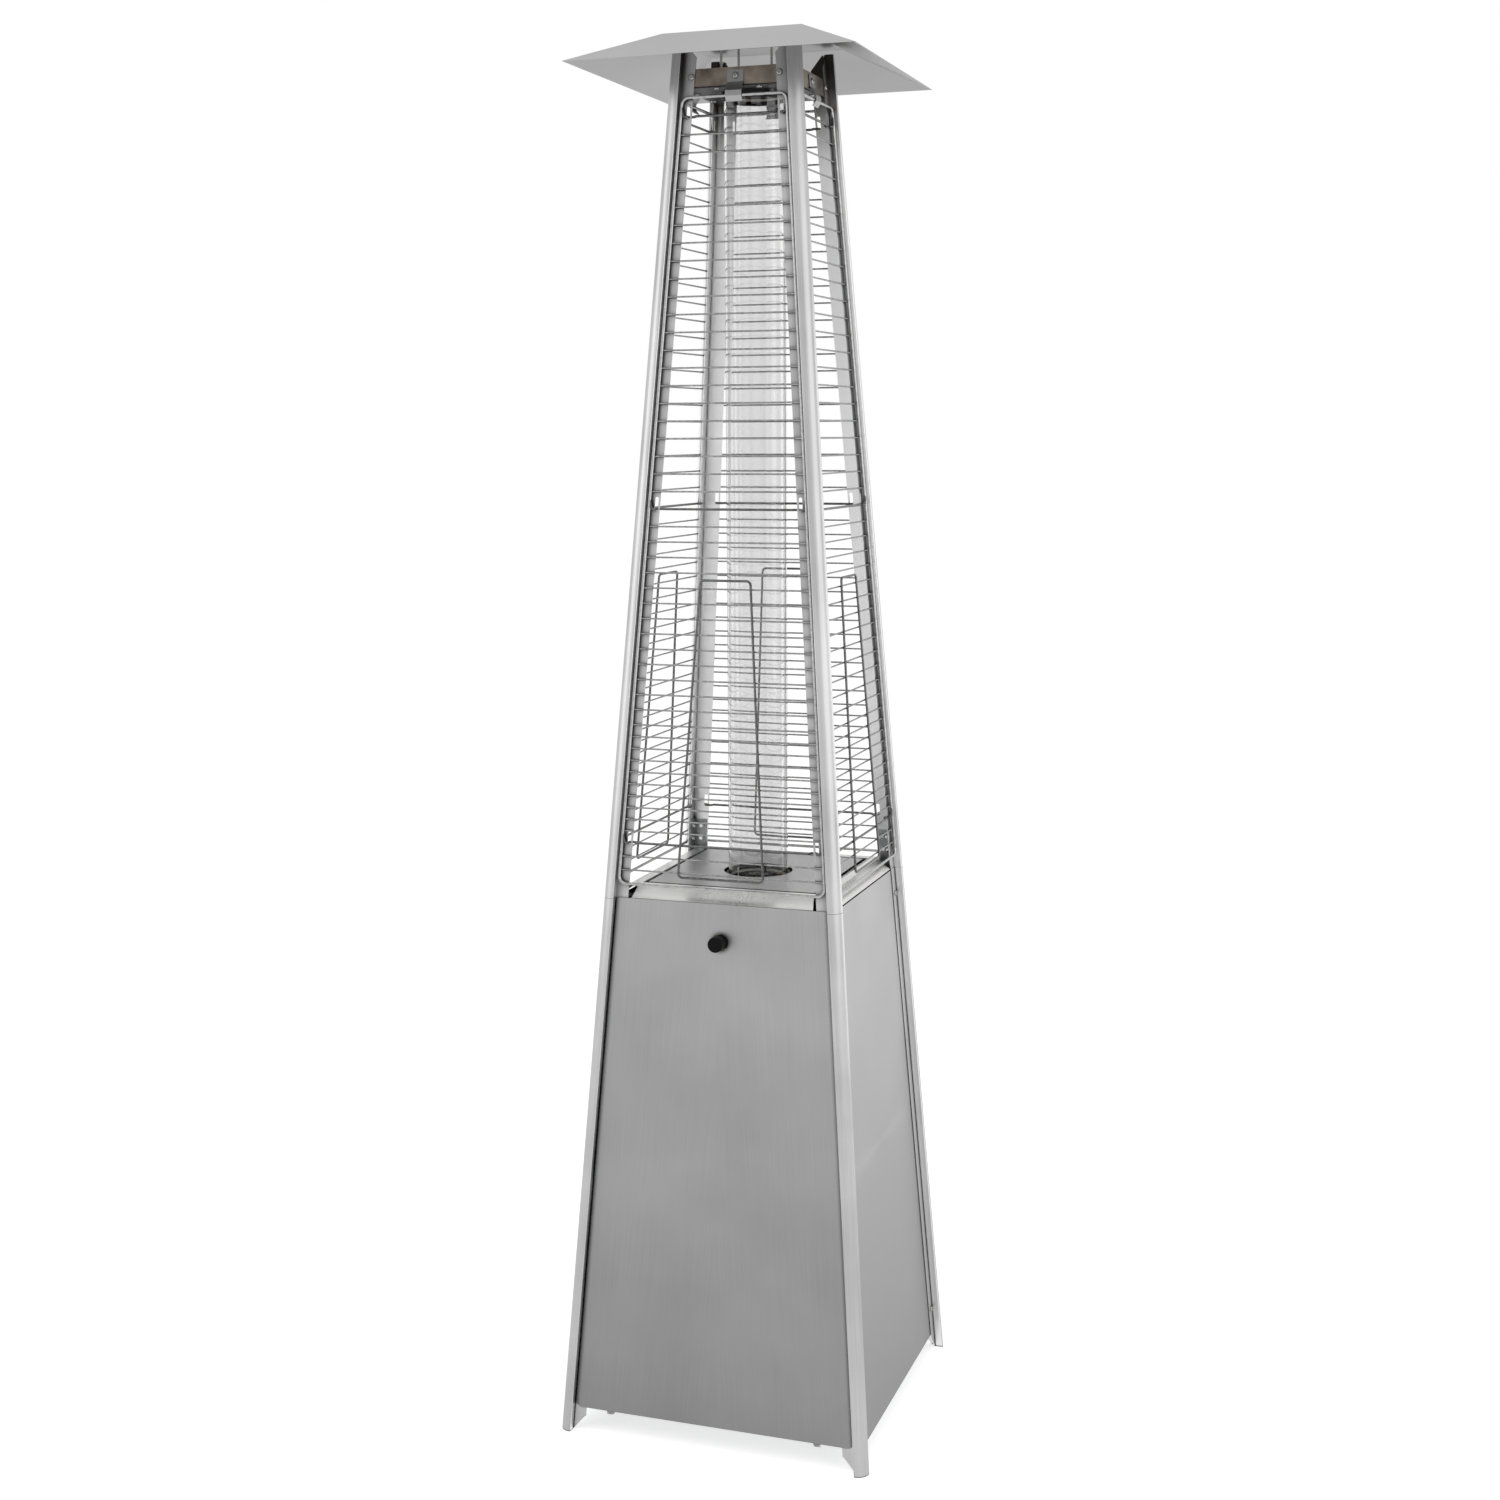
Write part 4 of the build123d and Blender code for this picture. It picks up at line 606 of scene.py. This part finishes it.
def guard_bar_tree():
    """Geometry nodes: level bars between two heights, each as long as the tapering face is wide."""
    tree = bpy.data.node_groups.new("guard_bars", "GeometryNodeTree")
    tree.interface.new_socket("Geometry", in_out="OUTPUT", socket_type="NodeSocketGeometry")
    for name, kind in (
        ("Bars", "NodeSocketInt"),
        ("Highest bar", "NodeSocketFloat"),
        ("Lowest bar", "NodeSocketFloat"),
        ("Bar radius", "NodeSocketFloat"),
        ("Half length at floor", "NodeSocketFloat"),
        ("Reach at floor", "NodeSocketFloat"),
        ("Taper", "NodeSocketFloat"),
        ("Finish", "NodeSocketMaterial"),
    ):
        tree.interface.new_socket(name, in_out="INPUT", socket_type=kind)
    given = add_node(tree, "NodeGroupInput").outputs
    top = add_node(tree, "ShaderNodeCombineXYZ", {"Z": given["Highest bar"]})
    bottom = add_node(tree, "ShaderNodeCombineXYZ", {"Z": given["Lowest bar"]})
    ladder = add_node(
        tree,
        "GeometryNodeMeshLine",
        {"Count": given["Bars"], "Start Location": top.outputs[0], "Offset": bottom.outputs[0]},
        mode="END_POINTS",
    )
    position = add_node(tree, "GeometryNodeInputPosition").outputs[0]
    height = add_node(tree, "ShaderNodeSeparateXYZ", {"Vector": position}).outputs["Z"]
    narrowing = add_node(
        tree, "ShaderNodeMath", {0: height, 1: given["Taper"]}, operation="MULTIPLY"
    ).outputs[0]
    reach = add_node(
        tree, "ShaderNodeMath", {0: narrowing, 1: given["Reach at floor"]}, operation="SUBTRACT"
    )
    place = add_node(tree, "ShaderNodeCombineXYZ", {"Y": reach.outputs[0], "Z": height})
    stood = add_node(
        tree,
        "GeometryNodeSetPosition",
        {"Geometry": ladder.outputs["Mesh"], "Position": place.outputs[0]},
    )
    half = add_node(
        tree,
        "ShaderNodeMath",
        {0: given["Half length at floor"], 1: narrowing},
        operation="SUBTRACT",
    )
    length = add_node(tree, "ShaderNodeMath", {0: half.outputs[0], 1: 2.0}, operation="MULTIPLY")
    bar = add_node(
        tree,
        "GeometryNodeMeshCylinder",
        {"Vertices": 12, "Radius": given["Bar radius"], "Depth": 1.0},
    )
    laid = add_node(
        tree,
        "GeometryNodeTransform",
        {"Geometry": bar.outputs["Mesh"], "Rotation": (0.0, pi / 2, 0.0)},
    )
    size = add_node(tree, "ShaderNodeCombineXYZ", {"X": length.outputs[0], "Y": 1.0, "Z": 1.0})
    bars = add_node(
        tree,
        "GeometryNodeInstanceOnPoints",
        {"Points": stood.outputs[0], "Instance": laid.outputs[0], "Scale": size.outputs[0]},
    )
    real = add_node(tree, "GeometryNodeRealizeInstances", {"Geometry": bars.outputs[0]})
    finished = add_node(
        tree,
        "GeometryNodeSetMaterial",
        {"Geometry": real.outputs[0], "Material": given["Finish"]},
    )
    add_node(tree, "NodeGroupOutput", {"Geometry": finished.outputs[0]})
    return tree


def bar_mesh(tree, count, highest, lowest, finish):
    """One zone of evenly spaced bars as a plain mesh."""
    carrier = bpy.data.objects.new("bars", bpy.data.meshes.new("bars"))
    modifier = carrier.modifiers.new("bars", "NODES")
    modifier.node_group = tree
    values = {
        "Bars": count,
        "Highest bar": highest,
        "Lowest bar": lowest,
        "Bar radius": bar_radius,
        "Half length at floor": base_half - frame_inset,
        "Reach at floor": base_half - bar_depth,
        "Taper": taper_share,
        "Finish": finish,
    }
    for item in tree.interface.items_tree:
        if item.in_out == "INPUT":
            modifier[item.identifier] = values[item.name]
    return plain_mesh(carrier)


def closed_wire(name, depth, heights, halves, corner, radius):
    """A closed wire in the plane of the front guard, from its lowest and its highest side."""
    (low, high), (low_half, high_half) = heights, halves
    points = [
        front_point(-low_half, depth, low),
        front_point(low_half, depth, low),
        front_point(high_half, depth, high),
        front_point(-high_half, depth, high),
    ]
    return wire_mesh(name, rounded_path(points, corner, True), radius, True)


def hook_rod(height):
    """A thick rod whose ends pass through the posts' slots and back to the frame wire."""
    half = face_half(height)
    leg_top = height + rod_leg
    leg_inset = frame_inset + frame_radius + rod_radius
    right = [
        front_point(face_half(leg_top) - frame_inset, frame_depth, leg_top),
        front_point(half - leg_inset, frame_depth, height),
        front_point(half - slot_inset, frame_depth, height),
        front_point(half - slot_inset, rod_behind, height),
        front_point(half - rod_step_inset, rod_behind, height),
        front_point(half - rod_step_inset, bar_depth, height),
    ]
    left = [Vector((-p.x, p.y, p.z)) for p in reversed(right)]
    return wire_mesh("rod", rounded_path(right + left, rod_bend, False), rod_radius, False)


def wire_guard_meshes():
    """Every wire of the front guard, each with its finish."""
    finish = FINISHES["steel_wire"]
    tree = guard_bar_tree()
    top_rod, middle_rod, low_rod = rod_heights
    top_pitch = (top_rod - middle_rod) / zone_gaps[0]
    low_pitch = (change_height - low_rod) / zone_gaps[2]
    foot_pitch = (low_rod - guard_bottom) / zone_gaps[3]
    # Each zone's number of bars, its highest and its lowest bar
    zones = (
        (zone_gaps[0] - 1, top_rod - top_pitch, middle_rod + top_pitch),
        (zone_gaps[1] + 1, middle_rod - top_pitch, change_height),
        (zone_gaps[2] - 1, change_height - low_pitch, low_rod + low_pitch),
        (zone_gaps[3] - 1, low_rod - foot_pitch, guard_bottom + foot_pitch),
    )
    wires = [(bar_mesh(tree, count, high, low, finish), finish) for count, high, low in zones]
    frame_wire = closed_wire(
        "frame_wire",
        depth=frame_depth,
        heights=(guard_bottom, guard_top),
        halves=(face_half(guard_bottom) - frame_inset, face_half(guard_top) - frame_inset),
        corner=corner_radius,
        radius=frame_radius,
    )
    wires.append((frame_wire, OWN_FINISHES["frame_wire"]))
    loop_wire = closed_wire(
        "loop_wire",
        depth=loop_depth,
        heights=(loop_bottom, loop_top),
        halves=(loop_bottom_half, loop_top_half),
        corner=loop_corner,
        radius=rod_radius,
    )
    wires.append((loop_wire, OWN_FINISHES["rod_wire"]))
    wires += [(hook_rod(height), OWN_FINISHES["rod_wire"]) for height in rod_heights]
    return wires


def smooth_by_angle(mesh, limit=35):
    """Smooth shading with crisp edges where faces meet at more than the limit, in degrees."""
    mesh.shade_smooth()
    mesh.set_sharp_from_angle(angle=radians(limit))


def join_turned(name, wires, turn):
    """One object from several wires, turned about the heater's axis, with smooth faces."""
    vertices, faces, places = [], [], []
    finishes = list(dict.fromkeys(finish for mesh, finish in wires))
    rotation = Matrix.Rotation(radians(turn), 4, "Z")
    for mesh, finish in wires:
        first = len(vertices)
        vertices += [rotation @ v.co for v in mesh.vertices]
        faces += [[first + i for i in polygon.vertices] for polygon in mesh.polygons]
        places += [finishes.index(finish)] * len(mesh.polygons)
    joined = bpy.data.meshes.new(name)
    joined.from_pydata(vertices, [], faces)
    for finish in finishes:
        joined.materials.append(finish)
    joined.polygons.foreach_set("material_index", places)
    made = bpy.data.objects.new(name, joined)
    bpy.context.scene.collection.objects.link(made)
    smooth_by_angle(joined)
    return made


def dress_frame():
    """Give every carried node its finish."""
    slots = {item["node"]: item["material_slot"] for item in frame["record"]["subparts"]}
    for name, node in frame["nodes"].items():
        node.data.materials.clear()
        node.data.materials.append(OWN_FINISHES.get(name, FINISHES[slots[name]]))


def clear_view(tree):
    """One for rays that look at the background, directly, in gloss or through glass."""
    path = add_node(tree, "ShaderNodeLightPath").outputs
    seen = path["Is Camera Ray"]
    for kind in ("Is Glossy Ray", "Is Transmission Ray"):
        seen = add_node(
            tree, "ShaderNodeMath", {0: seen, 1: path[kind]}, operation="MAXIMUM"
        ).outputs[0]
    return seen


def stage():
    """A pale floor that keeps the heater's shadow, and a white background."""
    material = bpy.data.materials.new("studio_floor")
    material.use_nodes = True
    tree = material.node_tree
    tree.nodes.clear()
    matt = add_node(tree, "ShaderNodeBsdfDiffuse", {"Color": grey(floor_grey)})
    strength = add_node(
        tree, "ShaderNodeMath", {0: clear_view(tree), 1: floor_glow}, operation="MULTIPLY"
    )
    glow = add_node(
        tree, "ShaderNodeEmission", {"Color": grey(1.0), "Strength": strength.outputs[0]}
    )
    both = add_node(tree, "ShaderNodeAddShader", {0: matt.outputs[0], 1: glow.outputs[0]})
    add_node(tree, "ShaderNodeOutputMaterial", {"Surface": both.outputs[0]})
    mesh = bpy.data.meshes.new("studio_floor")
    corners = [
        (-floor_half, -floor_half, 0),
        (floor_half, -floor_half, 0),
        (floor_half, floor_half, 0),
        (-floor_half, floor_half, 0),
    ]
    mesh.from_pydata(corners, [], [(0, 1, 2, 3)])
    mesh.materials.append(material)
    floor = bpy.data.objects.new("studio_floor", mesh)
    bpy.context.scene.collection.objects.link(floor)

    world = bpy.data.worlds.new("studio")
    bpy.context.scene.world = world
    world.use_nodes = True
    tree = world.node_tree
    tree.nodes.clear()
    strength = add_node(
        tree,
        "ShaderNodeMapRange",
        {"Value": clear_view(tree), "To Min": world_light, "To Max": 1.0},
    )
    light = add_node(
        tree, "ShaderNodeBackground", {"Color": grey(1.0), "Strength": strength.outputs[0]}
    )
    add_node(tree, "ShaderNodeOutputWorld", {"Surface": light.outputs[0]})


def lamp(name, place, aim, size, power):
    """A soft rectangular lamp that points at a place."""
    data = bpy.data.lights.new(name, "AREA")
    data.shape = "RECTANGLE"
    data.size, data.size_y = size
    data.energy = power
    made = bpy.data.objects.new(name, data)
    made.location = place
    made.rotation_euler = (Vector(aim) - Vector(place)).to_track_quat("-Z", "Y").to_euler()
    bpy.context.scene.collection.objects.link(made)


def light_up():
    """Four soft lamps: one at the right front, one behind, one above and one at the left."""
    lamp("key_lamp", place=(3.1, -1.15, 1.9), aim=(0, 0, 1.5), size=(3.2, 2.6), power=22)
    lamp("rim_lamp", place=(2.5, 2.6, 1.2), aim=(0, 0, 0.9), size=(1.6, 2.4), power=15)
    lamp("top_lamp", place=(-0.6, -1.2, 4.2), aim=(0, 0, 1.2), size=(3.6, 3.6), power=30)
    lamp("fill_lamp", place=(-3.4, -2.2, 2.0), aim=(0, 0, 1.0), size=(2.2, 2.8), power=24)


def camera():
    """The camera at the photograph's place, found from the part's known edges."""
    place = (1.10841, -3.27182, 1.65318)
    heading, downwards, roll = 18.934, 8.651, -0.281
    data = bpy.data.cameras.new("camera")
    data.sensor_width = 36
    data.lens = 50.015
    data.clip_end = 200
    made = bpy.data.objects.new("camera", data)
    made.matrix_world = (
        Matrix.Translation(place)
        @ Matrix.Rotation(radians(heading), 4, "Z")
        @ Matrix.Rotation(radians(90 - downwards), 4, "X")
        @ Matrix.Rotation(radians(roll), 4, "Z")
    )
    bpy.context.scene.collection.objects.link(made)
    bpy.context.scene.camera = made


def main():
    """Dress the frame, add the pieces and light the stage."""
    dress_frame()
    wires = wire_guard_meshes()
    for side, turn in SIDES:
        guard = join_turned(f"guard_wires_{side}", wires, turn)
        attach(guard, "cabinet")
        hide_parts(f"wire_guard_{side}")
    stage()
    light_up()
    camera()
    bpy.context.scene.view_settings.view_transform = "Standard"


main()
